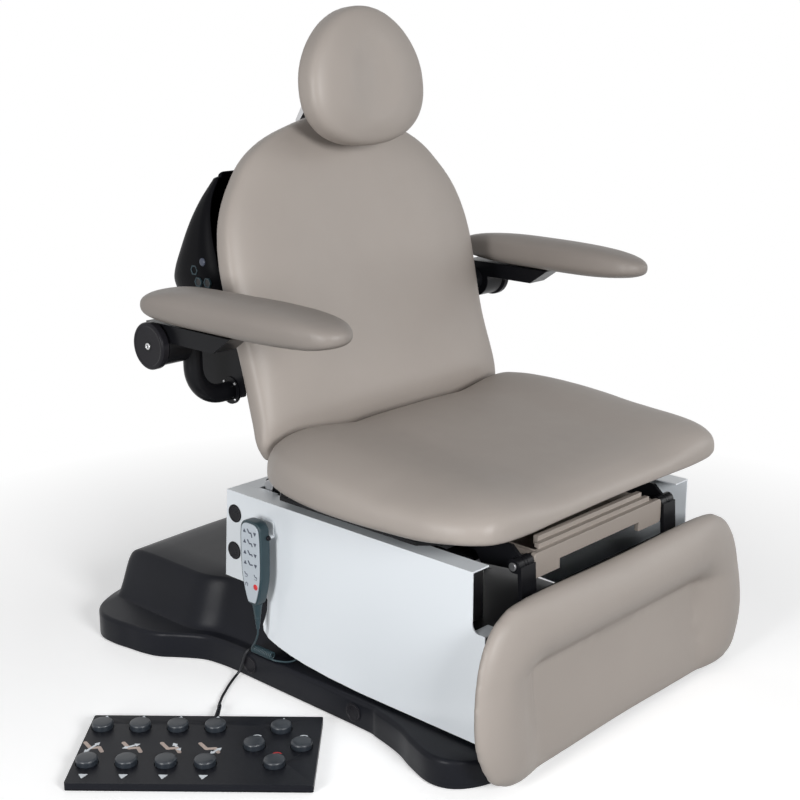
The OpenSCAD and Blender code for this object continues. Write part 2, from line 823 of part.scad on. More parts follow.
module pendant_hook() {
    x = box_w / 2 + seat_gap;
    y = pendant_y - hook_w / 2;
    color(black_plastic) {
        translate([-x - hook_t, y - hook_lip, hook_low]) cube([hook_t, hook_w, hook_h]);
        translate([-pendant_x + seat_gap, y - hook_lip, hook_low])
            cube([pendant_x - x - seat_gap, hook_w, hook_lip]);
    }
}

function curl_path() = let (n = curls * curl_rings, r = (curl_d - cord_d) / 2)
    [for (i = [0:n]) let (a = 360 * i / curl_rings + curl_start_angle)
        [curl_x + r * cos(a), curl_start_y - curl_pitch * i / curl_rings, curl_z + r * sin(a)]];
function beside_box(p) = p - [box_w / 2, 0, 0];
function pendant_cord_path() = [for (p = concat(cord_out, curl_path(), cord_home)) beside_box(p)];

module pendant_cord() {
    color(slate) swept(pendant_cord_path(), cord_d / 2, cord_sides);
}

// Foot control, in its own frame: X along its length, Y from front to rear

module in_pedal() {
    translate([pedal_x, pedal_y, 0]) rotate([0, 0, pedal_turn]) children();
}

function beside_base(p) = p - [base_w / 2, 0, 0];
function pedal_point(u, v, z) = [pedal_x + u * cos(pedal_turn) - v * sin(pedal_turn),
    pedal_y + u * sin(pedal_turn) + v * cos(pedal_turn), z];

module foot_control_housing() {
    color(black_plastic) in_pedal() difference() {
        translate([0, 0, pedal_gap + pedal_wall])
            rounded_bar(pedal_l, pedal_w, pedal_corner_r, pedal_h - pedal_gap - pedal_wall);
        for (b = buttons) translate([b.x, b.y, 0]) {
            translate([0, 0, pedal_h - button_well])
                cylinder(r = button_d / 2 + button_rim_gap, h = button_well + cut);
            cylinder(r = stem_r + stem_gap, h = pedal_h);
        }
    }
}

module foot_control_bottom() {
    color(black_steel) in_pedal() translate([0, 0, pedal_gap])
        rounded_bar(pedal_l, pedal_w, pedal_corner_r, pedal_wall);
}

module foot_control_feet() {
    color(black_plastic) in_pedal() for (x = [-1, 1], y = [-1, 1])
        translate([x * (pedal_l / 2 - pedal_foot_inset), y * (pedal_w / 2 - pedal_foot_inset), 0])
            cylinder(r = pedal_foot_r, h = pedal_gap);
}

module foot_button(i) {
    b = buttons[i - 1];
    r = button_d / 2;
    low = pedal_h - button_well + button_travel + button_gap;
    stem_low = pedal_gap + pedal_wall + button_travel + button_gap;
    color(black_plastic) in_pedal() translate([b.x, b.y, low]) {
        rotate_extrude() polygon([[0, 0], [r, 0], [r, button_h - button_dome],
            [r * 0.94, button_h - button_dome * 0.5], [r * 0.7, button_h - button_dome * 0.15],
                [0, button_h]]);
        translate([0, 0, stem_low - low]) cylinder(r = stem_r, h = low - stem_low);
    }
}

module foot_control_boot() {
    color(black_plastic) in_pedal() translate([boot_u, pedal_w / 2, foot_boot_z]) rotate([-90, 0, 0])
        rotate_extrude() polygon([[0, 0], [foot_cord_d, 0], [foot_cord_d * 0.62, boot_v], [0, boot_v]]);
}

module foot_cord() {
    path = concat([pedal_point(boot_u, pedal_w / 2 + boot_v, foot_boot_z),
        pedal_point(boot_u, pedal_w / 2 + boot_v + foot_cord_lead, foot_boot_z)],
        [for (p = foot_cord_route) beside_base(p)]);
    color(black_plastic) swept(path, foot_cord_d / 2, foot_cord_sides);
}

// Seat

// Side plate of the seat frame in the Y-Z plane
module frame_plate() {
    top = pan_z - seat_gap;
    difference() {
        union() {
            polygon([[-frame_nose_y, frame_low_z], [-frame_nose_y - frame_nose_run, frame_front_z],
                [leg_pivot_y, leg_pivot_z - leg_boss_r], [leg_pivot_y, leg_pivot_z + leg_boss_r],
                [leg_pivot_y + frame_nose_run, top],
                [recline_y - rear_tube_r - rear_tube_shoulder, top], [recline_y - rear_tube_r, recline_z],
                [recline_y + rear_tube_r, recline_z], [tilt_y + tilt_boss_r, tilt_z],
                    [tilt_y, frame_low_z]]);
            translate([leg_pivot_y, leg_pivot_z]) circle(leg_boss_r);
            translate([tilt_y, tilt_z]) circle(tilt_boss_r);
        }
        translate([leg_pivot_y, leg_pivot_z]) circle(leg_pin_r);
        translate([tilt_y, tilt_z]) circle(pin_r);
    }
}

module seat_frame() {
    color(black_steel) {
        difference() {
            union() {
                both_sides() side_slab(frame_x - frame_t / 2, frame_x + frame_t / 2) frame_plate();
                along_x(-rear_tube_x, rear_tube_x, recline_y, recline_z) circle(rear_tube_r);
            }
            both_sides() along_x(frame_x, rear_tube_x + cut, recline_y, recline_z) circle(pin_r);
        }
        both_sides() translate([frame_x - frame_t / 2 - runner_w, runner_front, runner_z])
            cube([runner_w, tray_d, runner_t]);
        for (y = cross_y) along_x(-frame_x, frame_x, y, pan_z - cross_r - cross_drop) circle(cross_r);
    }
}

module seat_pan() {
    w = pan_w / 2;
    c = pan_corner;
    color(black_plastic) translate([0, 0, pan_z]) linear_extrude(pan_t) polygon([[-w + c, -pan_front],
        [w - c, -pan_front], [w, -pan_front + c], [w, pan_rear - c], [w - c, pan_rear],
            [-w + c, pan_rear],
        [-w, pan_rear - c], [-w, -pan_front + c]]);
}

// The seat's top is dished between its side rolls, and its front underside arches over the tray
function seat_front(x, y) = let (u = 2 * x / seat_w, v = 2 * y / seat_len)
    seat_top - seat_edge_z - seat_dish * max(0, 1 - 2 * u * u) + seat_rear_lift * max(0, min(1,
        (v - seat_lift_start_share) / seat_lift_run_share));
function seat_under(x, y) = let (u = 2 * x / seat_w, v = -2 * y / seat_len,
    arch = cos(90 * min(1, abs(u) / seat_arch_w_share))
        * max(0, min(1, (v - seat_arch_start_share) / seat_arch_run_share)))
    (seat_edge_z - pan_z - pan_t - seat_gap) * (1 - seat_arch_share * arch);
module seat_cushion() {
    color(taupe) translate([0, seat_rear - seat_len / 2, seat_edge_z])
        padded(scaled_outline(seat_outline_shares, seat_w, seat_len), function (x, y) seat_front(x, y),
            function (x, y) seat_under(x, y), 10, seat_roll_share);
}

module pivot_pin(x0, x1, y, z, r, head_r) {
    along_x(x0, x1, y, z) circle(r);
    along_x(x1, x1 + pin_head_t, y, z) circle(head_r);
}

module hinge_pins() {
    color(steel) both_sides() {
        pivot_pin(frame_x - frame_t / 2, head_side_x + ear_t / 2 + seat_gap, tilt_y, tilt_z, pin_r,
            pin_head_r);
        pivot_pin(frame_x, hinge_arm_x + hinge_arm_t + seat_gap, recline_y, recline_z, pin_r, pin_head_r);
        pivot_pin(frame_x - leg_bar_w / 2, frame_x + leg_bar_w / 2 + seat_gap, leg_pivot_y, leg_pivot_z,
            leg_pin_r, leg_pin_head);
    }
}

// Tray

module tray_face() {
    w = tray_w / 2;
    r = tray_face_r;
    h = tray_face_top - tray_face_low;
    difference() {
        translate([0, tray_face_low + h / 2]) {
            square([2 * w - 2 * r, h], center = true);
            square([2 * w, h - 2 * r], center = true);
            for (x = [-1, 1], z = [-1, 1]) translate([x * (w - r), z * (h / 2 - r)]) circle(r);
        }
        translate([-tray_cut_w / 2, tray_face_low - cut]) square([tray_cut_w, tray_cut_h + cut]);
    }
}

module tray() {
    y = tray_face_y + tray_face_t;
    w = tray_body_w / 2;
    color(taupe) {
        translate([0, y, 0]) rotate([90, 0, 0]) linear_extrude(tray_face_t) tray_face();
        difference() {
            translate([-w, y, tray_body_low]) cube([2 * w, tray_d, tray_face_top - tray_body_low]);
            translate([-w + tray_wall, y + tray_wall, tray_body_low + tray_wall])
                cube([2 * w - 2 * tray_wall, tray_d - 2 * tray_wall, tray_face_top]);
        }
        both_sides() translate([w, y + tray_rim_set, runner_z + runner_t + seat_gap])
            cube([tray_lip_x - w, tray_d - tray_rim_set, tray_lip_t]);
        for (i = [1, 2]) translate([-w + i * tray_rim_set, y - tray_face_t + i * tray_rim_set,
            tray_face_top])
            cube([2 * w - 2 * i * tray_rim_set, tray_rim_set, i * tray_rim_h]);
    }
}

// Leg rest, in its own frame: the origin on its pivot, -Z down the leg and -Y outward

module in_leg() {
    translate([0, leg_pivot_y, leg_pivot_z]) rotate([-leg_lean, 0, 0]) children();
}

module leg_frame() {
    y = -leg_board_y - leg_board_t;
    color(black_steel) in_leg() {
        translate([-leg_board_w / 2, y, -leg_board_low])
            cube([leg_board_w, leg_board_t, leg_board_low - leg_board_top]);
        both_sides() translate([frame_x, 0, 0]) difference() {
            union() {
                translate([-leg_bar_w / 2, -leg_board_y, -leg_board_low])
                    cube([leg_bar_w, leg_bar_t, leg_board_low]);
                translate([-leg_bar_w / 2, -leg_board_y, -leg_boss_r])
                    cube([leg_bar_w, leg_board_y, leg_boss_r]);
                along_x(-leg_bar_w / 2, leg_bar_w / 2, 0, 0) circle(leg_boss_r);
            }
            along_x(-leg_bar_w, leg_bar_w, 0, 0) circle(leg_pin_r + pin_gap);
            translate([-frame_t / 2 - clevis_gap, -leg_boss_r - 2 * clevis_gap, -2 * leg_boss_r])
                cube([frame_t + 2 * clevis_gap, leg_board_y + leg_boss_r, 4 * leg_boss_r]);
        }
    }
}

// The leg cushion is thick at both sides, with a recess down the middle that opens at its foot
function leg_front(x, y) = let (u = 2 * x / leg_w, v = 2 * y / leg_h,
    channel = pow(cos(90 * min(1, abs(u) / leg_channel_w_share)), 1.2)
        * max(0, min(1, (leg_channel_top_share - v) / leg_channel_run_share)))
    leg_t - leg_rear_t - leg_channel * channel;
module leg_cushion() {
    color(taupe) in_leg() translate([0, -leg_board_y - leg_board_t - seat_gap - leg_rear_t,
        -leg_top - leg_h / 2])
        rotate([90, 0, 0]) padded(scaled_outline(leg_outline_shares, leg_w, leg_h),
            function (x, y) leg_front(x, y), function (x, y) leg_rear_t, 9, leg_roll_share);
}

// Back, in its own frame: local X across, local Y up the back, local Z forward

module in_back() {
    translate([0, back_y, back_z]) rotate([90 - back_lean, 0, 0]) children();
}

// The back has a soft channel up its middle, and its foot thins towards the seat
function back_front(x, y) = let (u = 2 * x / back_w, v = y / back_h + 0.5,
    channel = pow(cos(90 * min(1, abs(u) / back_channel_w_share)), 1.4)
        * max(0, min(1, v / back_channel_foot_share)) * max(0, min(1, (1 - v) / back_channel_head_share)),
    foot = pow(max(0, 1 - v * back_h / back_foot_taper), 2))
    back_front_t * (1 - back_foot_taper_share * foot) - back_channel * channel;
function back_curve() = scaled_outline(back_outline_shares, back_w, back_h);
module back_cushion() {
    color(taupe) in_back() translate([0, back_h / 2, 0]) padded(back_curve(), function (x, y)
        back_front(x, y),
        function (x, y) back_rear_t, 9, back_roll_share);
}

// Back frame: a board behind the cushion, cross rails, side plates for the arms and hinge arms
module back_frame() {
    rear = -back_rear_t - seat_gap;
    low = rear - board_t;
    color(black_steel) difference() {
        union() {
            in_back() {
                translate([0, back_h / 2, low]) linear_extrude(board_t)
                    polygon([for (p = back_curve()) board_share * p]);
                both_sides() side_slab(side_plate_x, side_plate_x + side_plate_t)
                    polygon([for (p = side_plate_points) [p.x, rear + p.y]]);
                for (y = back_tab_y) translate([-side_plate_x - side_plate_t / 2, y, low])
                    cube([2 * side_plate_x + side_plate_t, back_rail_d, board_t]);
                translate([-hinge_arm_x, foot_rail_y, low - hinge_arm_d])
                    cube([2 * hinge_arm_x, back_rail_d, hinge_arm_d]);
                both_sides() translate([hinge_arm_x, 0, low - hinge_arm_d])
                    cube([hinge_arm_t, hinge_arm_top, hinge_arm_d]);
                translate([-guide_w / 2, guide_y, low - guide_d]) cube([guide_w, guide_h, guide_d]);
            }
            both_sides() side_slab(hinge_arm_x, hinge_arm_x + hinge_arm_t) union() {
                translate([recline_y, recline_z]) circle(recline_boss_r);
                polygon([[recline_y - recline_boss_r, recline_z], [recline_y + recline_boss_r, recline_z],
                    [recline_y + recline_boss_r + hinge_gusset, recline_z + hinge_gusset_h],
                    [recline_y + hinge_gusset_in, recline_z + hinge_gusset_h]]);
            }
        }
        both_sides() along_x(hinge_arm_x - cut, hinge_arm_x + hinge_arm_t + cut, recline_y, recline_z)
            circle(pin_r + pin_gap);
        in_back() translate([-post_w / 2 - guide_post_gap, guide_y - post_len,
            low - (guide_d + post_t) / 2 - guide_post_gap])
            cube([post_w + 2 * guide_post_gap, post_len + 2 * guide_h, post_t + 2 * guide_post_gap]);
    }
}

// Ring of the rear shell: flat towards the board and rounded behind
function shell_ring(s) = let (w = shell_w / 2 * s[1], d = shell_depth * s[2])
    [for (a = [180:-12:0]) [w * powered(cos(a), shell_corner_share), shell_low + shell_h * s[0],
        -shell_front() - d * powered(sin(a), shell_corner_share)]];
function shell_front() = back_rear_t + 2 * seat_gap + board_t;

module back_shell() {
    rings = [for (s = shell_station_shares) shell_ring(s)];
    inner = [for (s = shell_station_shares)
        shell_ring([s[0], s[1] * (1 - 2 * shell_wall / shell_w * 2), s[2] * 0.95])];
    n = len(rings[0]);
    color(black_plastic) in_back() difference() {
        polyhedron([for (r = rings, p = r) p], loft_faces(len(rings), n));
        polyhedron([for (r = inner, p = r) p + [0, 0, cut]], loft_faces(len(inner), n));
    }
}

// Bent support tube of an arm with its wall flange and pivot spindle
module arm_tube() {
    r = tube_d / 2;
    foot = tube_x - tube_bend_r;
    low = arm_flange_z + tube_bend_r;
    translate([tube_x, arm_pivot_y, low]) cylinder(r = r, h = arm_pivot_z - low);
    translate([foot, arm_pivot_y, low]) rotate([-90, 0, 0]) rotate_extrude(angle = 90)
        translate([tube_bend_r, 0]) circle(r);
    along_x(side_plate_x + side_plate_t + arm_flange_t, foot, arm_pivot_y, arm_flange_z) circle(r);
    along_x(side_plate_x + side_plate_t + seat_gap, side_plate_x + side_plate_t + arm_flange_t,
        arm_pivot_y, arm_flange_z)
        circle(arm_flange_r);
    along_x(tube_x - r, drum_in - seat_gap, arm_pivot_y, arm_pivot_z) circle(tube_boss_r);
    along_x(drum_in - cut, drum_out + knob_t, arm_pivot_y, arm_pivot_z) circle(spindle_r);
}
module arm_tubes() { color(black_steel) both_sides() arm_tube(); }

// Arm bracket on the +X side: the clamp drum and the channel under the pad
module arm_bracket() {
    difference() {
        union() {
            along_x(drum_in, drum_out, arm_pivot_y, arm_pivot_z) circle(drum_r);
            side_slab(drum_in, drum_out) polygon([[channel_front, channel_low],
                [channel_front - channel_chamfer, channel_top], [channel_rear, channel_top],
                [channel_rear, channel_low + channel_chamfer / 4],
                    [channel_rear - channel_chamfer / 4, channel_low]]);
        }
        along_x(drum_in - cut, drum_out + cut, arm_pivot_y, arm_pivot_z) circle(spindle_r + pin_gap);
    }
}
module arm_bracket_left() { color(black_steel) arm_bracket(); }
module arm_bracket_right() { color(black_steel) mirror([1, 0, 0]) arm_bracket(); }

// Arm pad: blunt ends, oval across, toed in and sloping a little outwards
arm_outline_shares = [[0, 0], [0.64, 0.04], [0.88, 0.14], [1, 0.32], [0.98, 0.5], [0.94, 0.68],
    [0.9, 0.86],
    [0.72, 0.96], [0, 1]];
module arm_pad() {
    translate([arm_x, arm_len / 2 - arm_front, arm_edge_z]) rotate([0, 0, -arm_toe])
        rotate([0, arm_slope, 0])
        padded(scaled_outline(arm_outline_shares, arm_w, arm_len), function (x, y)
            arm_t * (1 - arm_low_share),
            function (x, y) arm_t * arm_low_share, 6, arm_roll_share);
}
module arm_pad_left() { color(taupe) arm_pad(); }
module arm_pad_right() { color(taupe) mirror([1, 0, 0]) arm_pad(); }

module arm_knob() {
    x = drum_out + knob_gap;
    r = knob_d / 2;
    e = knob_t / 4;
    translate([x, arm_pivot_y, arm_pivot_z]) rotate([0, 90, 0]) difference() {
        rotate_extrude() polygon([[0, 0], [r - e, 0], [r, e], [r, knob_t - e], [r - e, knob_t],
            [0, knob_t]]);
        translate([0, 0, -cut]) cylinder(r = spindle_r + pin_gap, h = knob_t - knob_gap + cut);
    }
    along_x(x + knob_t, x + knob_t + knob_screw_t, arm_pivot_y, arm_pivot_z) circle(knob_screw_r);
}
module arm_knob_left() { color(black_plastic) arm_knob(); }
module arm_knob_right() { color(black_plastic) mirror([1, 0, 0]) arm_knob(); }

// Head rest

function post_z() = -back_rear_t - seat_gap - board_t - guide_d / 2;
// The head rest's hinge axis in the shared frame
function head_hinge() = let (a = 90 - back_lean, y = post_top, z = head_hinge_z)
    [0, back_y + y * cos(a) - z * sin(a), back_z + y * sin(a) + z * cos(a)];

module headrest_post() {
    h = head_hinge();
    z = post_z();
    color(steel) difference() {
        union() {
            in_back() side_slab(-post_w / 2, post_w / 2) polygon([[post_top - post_len, z - post_t / 2],
                [post_top - post_crank, z - post_t / 2],
                    [post_top + post_t / 2, head_hinge_z - post_t / 2],
                [post_top - post_t / 2, head_hinge_z + post_t / 2],
                    [post_top - post_crank - post_t / 2, z + post_t / 2],
                [post_top - post_len, z + post_t / 2]]);
            along_x(-head_hinge_w / 2, head_hinge_w / 2, h.y, h.z) circle(head_hinge_r);
        }
        along_x(-post_w, post_w, h.y, h.z) circle(pin_r);
        both_sides() along_x(head_hinge_w / 2, post_w, h.y, h.z) circle(2 * head_hinge_r);
    }
}

// Links from the hinge pin to a plate screwed to the back of the head cushion
module headrest_bracket() {
    h = head_hinge();
    color(black_steel) {
        along_x(-head_hinge_w, head_hinge_w, h.y, h.z) circle(pin_r - pin_gap);
        both_sides() side_slab(head_hinge_w / 2 + seat_gap, head_hinge_w / 2 + seat_gap + head_link_t)
            union() {
            translate([h.y, h.z]) circle(head_hinge_r);
            polygon([[h.y, h.z - head_hinge_r], [h.y, h.z + head_hinge_r],
                [head_y + head_rear_t + link_back, head_z + link_rise],
                [head_y + head_rear_t + link_front, head_z - link_drop]]);
        }
        translate([0, head_y, head_z]) rotate([90 - head_lean, 0, 0])
            translate([-head_plate / 2, -head_plate / 2, -head_rear_t - seat_gap - pad_plate_t])
                cube([head_plate, head_plate, pad_plate_t]);
    }
}

// Head cushion: an oval that is widest below its middle, with a faint crease
function head_curve() = [for (a = [0:9:351]) [cos(a) * head_w / 2 * (1 - head_egg_share * sin(a)),
    sin(a) * head_h / 2]];
function head_front(x, y) = head_front_t - head_crease * pow(cos(90 * min(1, abs(4 * x / head_w))), 2);
module headrest_cushion() {
    color(taupe) translate([0, head_y, head_z]) rotate([90 - head_lean, 0, 0])
        padded(head_curve(), function (x, y) head_front(x, y), function (x, y)
            head_rear_t, 8, head_roll_share);
}

base_cover();
base_frame();
base_plugs();
column_outer();
lift_drive();
mains_inlet();
ledge_gland();
foot_control_housing();
foot_control_bottom();
foot_control_feet();
foot_control_boot();
foot_cord();
for (i = [1:12]) foot_button(i);
column_middle();
column_inner();
lift_head();
side_cover_right();
side_cover_left();
rear_cover();
front_cover();
cover_plugs();
control_box();
pendant_hook();
pendant_body();
pendant_keypad();
pendant_boot();
pendant_cord();
seat_frame();
seat_pan();
seat_cushion();
hinge_pins();
tray();
leg_frame();
leg_cushion();
back_frame();
back_cushion();
back_shell();
arm_tubes();
headrest_post();
headrest_bracket();
headrest_cushion();
arm_bracket_right();
arm_bracket_left();
arm_pad_right();
arm_pad_left();
arm_knob_right();
arm_knob_left();
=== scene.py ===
# Looks of a powered procedure chair: camera, cords, upholstery, mouldings, controls and finishes.
# Metres, +Z up. The chair faces -Y, so the occupant's right side is -X.
import json
import math
import bpy
import bmesh
import numpy as np
from mathutils import Matrix, Vector
from mathutils.bvhtree import BVHTree


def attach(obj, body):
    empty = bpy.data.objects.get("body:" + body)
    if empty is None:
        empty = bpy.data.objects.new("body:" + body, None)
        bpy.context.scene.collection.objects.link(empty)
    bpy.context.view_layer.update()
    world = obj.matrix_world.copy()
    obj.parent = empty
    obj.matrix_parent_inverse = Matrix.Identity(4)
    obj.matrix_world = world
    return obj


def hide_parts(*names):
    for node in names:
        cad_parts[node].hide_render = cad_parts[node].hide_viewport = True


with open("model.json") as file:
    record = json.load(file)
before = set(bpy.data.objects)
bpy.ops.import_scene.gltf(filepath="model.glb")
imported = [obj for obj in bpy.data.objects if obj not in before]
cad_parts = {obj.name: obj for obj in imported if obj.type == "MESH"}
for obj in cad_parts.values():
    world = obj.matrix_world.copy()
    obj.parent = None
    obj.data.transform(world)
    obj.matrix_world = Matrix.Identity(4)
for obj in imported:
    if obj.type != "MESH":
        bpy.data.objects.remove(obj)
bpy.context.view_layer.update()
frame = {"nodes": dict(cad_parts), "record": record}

scene = bpy.context.scene
nodes = frame["nodes"]
homeOf = {node: body for body, members in frame["record"]["behaviour"]["bodies"].items() for node in members}
slotOf = {entry["node"]: entry["material_slot"] for entry in frame["record"]["subparts"]}

# Camera at the photograph's viewing angle
view = {"position": (-1.8945, -1.7050, 1.1956), "forward": (0.70586, 0.65653, -0.26593), "lens": 64.107, "sensor": 36}
cameraData = bpy.data.cameras.new("photoCamera")
cameraData.lens = view["lens"]
cameraData.sensor_width = view["sensor"]
camera = bpy.data.objects.new("photoCamera", cameraData)
scene.collection.objects.link(camera)
camera.location = view["position"]
camera.rotation_euler = Vector(view["forward"]).to_track_quat("-Z", "Y").to_euler()
scene.camera = camera
scene.view_settings.view_transform = "Standard"
print("camera placed")


class Wire:
    # An output socket, so that shader maths reads as a plain expression
    def __init__(self, graph, socket):
        self.graph = graph
        self.socket = socket

    def maths(self, operation, other):
        return self.graph.add("ShaderNodeMath", {"operation": operation}, {0: self, 1: other})

    def __add__(self, other):
        return self.maths("ADD", other)

    def __mul__(self, other):
        return self.maths("MULTIPLY", other)

    __radd__ = __add__
    __rmul__ = __mul__


class Graph:
    # A node tree: plug() sets or links a socket, and add() makes any node and returns one of its outputs
    def __init__(self, tree):
        self.tree = tree

    def plug(self, socket, value):
        if isinstance(value, Wire):
            self.tree.links.new(value.socket, socket)
        else:
            socket.default_value = value

    def add(self, kind, settings, inputs, output=0):
        node = self.tree.nodes.new(kind)
        for key, value in settings.items():
            if key == "stops":
                ramp = node.color_ramp
                for i, (place, shade) in enumerate(value):
                    stop = ramp.elements[i] if i < 2 else ramp.elements.new(place)
                    stop.position = place
                    stop.color = (shade, shade, shade, 1)
            else:
                setattr(node, key, value)
        for key, value in inputs.items():
            self.plug(node.inputs[key], value)
        return Wire(self, node.outputs[output]) if len(node.outputs) else None

    def seenDirectly(self):
        # 1 for the camera's own rays and for reflections
        return (self.add("ShaderNodeLightPath", {}, {}, "Is Camera Ray")
                + self.add("ShaderNodeLightPath", {}, {}, "Is Glossy Ray"))


class Finish(Graph):
    # A material in the making, whose constants sit on the shader's own sockets
    def __init__(self, name, **constants):
        self.material = bpy.data.materials.new(name)
        self.material.use_nodes = True
        super().__init__(self.material.node_tree)
        self.shader = self.tree.nodes["Principled BSDF"]
        for words, value in constants.items():
            self.feed(words, value)

    def feed(self, words, value):
        # roughness feeds Roughness, coatWeight feeds Coat Weight
        label = "".join(" " + c if c.isupper() else c for c in words).title()
        self.plug(self.shader.inputs[label.replace("Ior", "IOR")], value)

    def place(self, stretch=(1, 1, 1)):
        where = self.add("ShaderNodeTexCoord", {}, {}, "Object")
        return self.add("ShaderNodeMapping", {}, {"Vector": where, "Scale": stretch})

    def noise(self, size, detail=3, stretch=(1, 1, 1), roughness=0.5):
        # size is the width of one patch in metres
        return self.add("ShaderNodeTexNoise", {}, {"Vector": self.place(stretch), "Scale": 1 / size,
                                                   "Detail": detail, "Roughness": roughness})

    def cells(self, size):
        return self.add("ShaderNodeTexVoronoi", {"feature": "SMOOTH_F1"}, {"Vector": self.place(), "Scale": 1 / size})

    def ramp(self, value, stops):
        return self.add("ShaderNodeValToRGB", {"stops": stops}, {"Fac": value})

    def blend(self, factor, first, second):
        return self.add("ShaderNodeMix", {"data_type": "RGBA"}, {"Factor": factor, 6: (*first, 1), 7: (*second, 1)}, 2)

    def bump(self, height, depth, strength=1.0):
        self.feed("normal", self.add("ShaderNodeBump", {}, {"Height": height, "Distance": depth, "Strength": strength}))


def tone(colour, share):
    return tuple(min(1, c * share) for c in colour)


def makeFinishes(colours):
    made = {}

    # The second vinyl is the same vinyl at 0.7 times its colour: painted shade for the arm pads
    for slot, name, shade in (("upholstery", "smoothVinyl", 1), ("armVinylPaintedShade", "smoothVinylPaintedShade", 0.7)):
        vinyl = Finish(name, specularIorLevel=0.4)
        drift = vinyl.noise(0.16, 4)
        vinyl.feed("baseColor", vinyl.blend(drift, tone(colours["upholstery"], 0.94 * shade),
                                            tone(colours["upholstery"], 1.06 * shade)))
        pores = vinyl.cells(0.0016)
        creases = vinyl.noise(0.004, 4, roughness=0.65)
        vinyl.feed("roughness", 0.4 + 0.12 * vinyl.noise(0.03, 3) + 0.04 * creases)
        vinyl.bump(pores * 0.6 + creases * 0.5, 0.00022, 0.55)
        made[slot] = vinyl

    moulding = Finish("grainedMoulding", specularIorLevel=0.13)
    haze = moulding.noise(0.11, 5, roughness=0.6)
    moulding.feed("baseColor", moulding.blend(haze, tone(colours["black"], 0.8), tone(colours["black"], 1.35)))
    grain = moulding.noise(0.0022, 3, roughness=0.7)
    moulding.feed("roughness", 0.26 + 0.12 * haze + 0.08 * grain)
    moulding.bump(grain, 0.00035, 0.5)
    made["black_moulding"] = moulding

    enamel = Finish("whiteEnamel", coatWeight=0.25, coatRoughness=0.18)
    cloud = enamel.noise(0.3, 2)
    enamel.feed("baseColor", enamel.blend(cloud, tone(colours["white"], 0.975), tone(colours["white"], 1.02)))
    peel = enamel.noise(0.0045, 2, roughness=0.4)
    enamel.feed("roughness", 0.27 + 0.07 * enamel.noise(0.05, 3))
    enamel.bump(peel, 0.00012, 0.5)
    made["white_enamel"] = enamel

    powder = Finish("blackPowderCoat", specularIorLevel=0.13)
    speck = powder.noise(0.0016, 2, roughness=0.6)
    powder.feed("baseColor", powder.blend(powder.noise(0.08, 4), tone(colours["steelBlack"], 0.85),
                                          tone(colours["steelBlack"], 1.3)))
    powder.feed("roughness", 0.25 + 0.12 * powder.noise(0.02, 4))
    powder.bump(speck, 0.0002, 0.5)
    made["black_enamel"] = powder

    steel = Finish("turnedSteel", metallic=1.0)
    lines = steel.noise(0.0006, 3, (1, 1, 0.04))
    steel.feed("baseColor", steel.blend(lines, (0.46, 0.46, 0.47), (0.66, 0.66, 0.67)))
    steel.feed("roughness", 0.24 + 0.16 * lines)
    steel.bump(lines, 0.00006, 0.5)
    made["bright_steel"] = steel

    trayPlastic = Finish("taupePlastic", coatWeight=0.05, coatRoughness=0.3)
    trayPlastic.feed("baseColor", trayPlastic.blend(trayPlastic.noise(0.09, 3), tone(colours["taupe"], 0.95),
                                                    tone(colours["taupe"], 1.05)))
    spark = trayPlastic.noise(0.0018, 3, roughness=0.6)
    trayPlastic.feed("roughness", 0.42 + 0.1 * spark)
    trayPlastic.bump(spark, 0.0002, 0.45)
    made["taupe_plastic"] = trayPlastic

    for slot, name, colour, level, gloss, grainSize, grainDepth in (
            ("knob_plastic", "knobPlastic", colours["knob"], 0.12, 0.2, 0.0018, 0.0001),
            ("foot_key_plastic", "footKeyPlastic", colours["key"], 0.5, 0.27, 0.003, 0.0001),
            ("slate_plastic", "slatePlastic", colours["slate"], 0.3, 0.28, 0.0014, 0.00016),
            ("cord_rubber", "cordRubber", colours["cord"], 0.3, 0.3, 0.0012, 0.0001),
            # The shell's entry is the black moulding at about half its colour, with little specular: painted shade for
            # the shade the shell sits in
            ("shellPaintedShadePlastic", "shellPaintedShadePlastic", colours["shell"], 0.04, 0.35, 0.002, 0.0003),
            ("foot_rubber", "footRubber", colours["rubber"], 0.3, 0.7, 0.0025, 0.0003)):
        plain = Finish(name, specularIorLevel=level)
        patch = plain.noise(0.05, 4)
        plain.feed("baseColor", plain.blend(patch, tone(colour, 0.85), tone(colour, 1.2)))
        fine = plain.noise(grainSize, 3, roughness=0.6)
        plain.feed("roughness", gloss + 0.1 * patch + 0.06 * fine)
        plain.bump(fine, grainDepth, 0.5)
        made[slot] = plain

    film = Finish("silverFilm", metallic=0.25)
    film.feed("baseColor", film.blend(film.noise(0.0007, 2, (1, 1, 0.2)), tone(colours["film"], 0.93),
                                      tone(colours["film"], 1.04)))
    film.feed("roughness", 0.34 + 0.08 * film.noise(0.01, 3))
    film.bump(film.noise(0.001, 2), 0.00005, 0.4)
    made["keypad_film"] = film

    for slot in ("whiteInk", "beigeInk", "greyInk", "redInk"):
        ink = Finish(slot)
        wear = ink.noise(0.004, 4)
        ink.feed("baseColor", ink.blend(wear, tone(colours[slot], 0.88), tone(colours[slot], 1.08)))
        ink.feed("roughness", 0.4 + 0.1 * wear)
        made[slot] = ink

    # Near-black floors for hexagonal wells and screw sockets: painted shade inside these holes, mottled at random
    dark = Finish("paintedRecessShade")
    shadeMottle = dark.noise(0.01, 3)
    dark.feed("baseColor", dark.blend(shadeMottle, (0.004, 0.004, 0.005), (0.012, 0.012, 0.013)))
    dark.feed("roughness", 0.55 + 0.2 * shadeMottle)
    made["recess"] = dark
    return {slot: made[slot].material for slot in made}


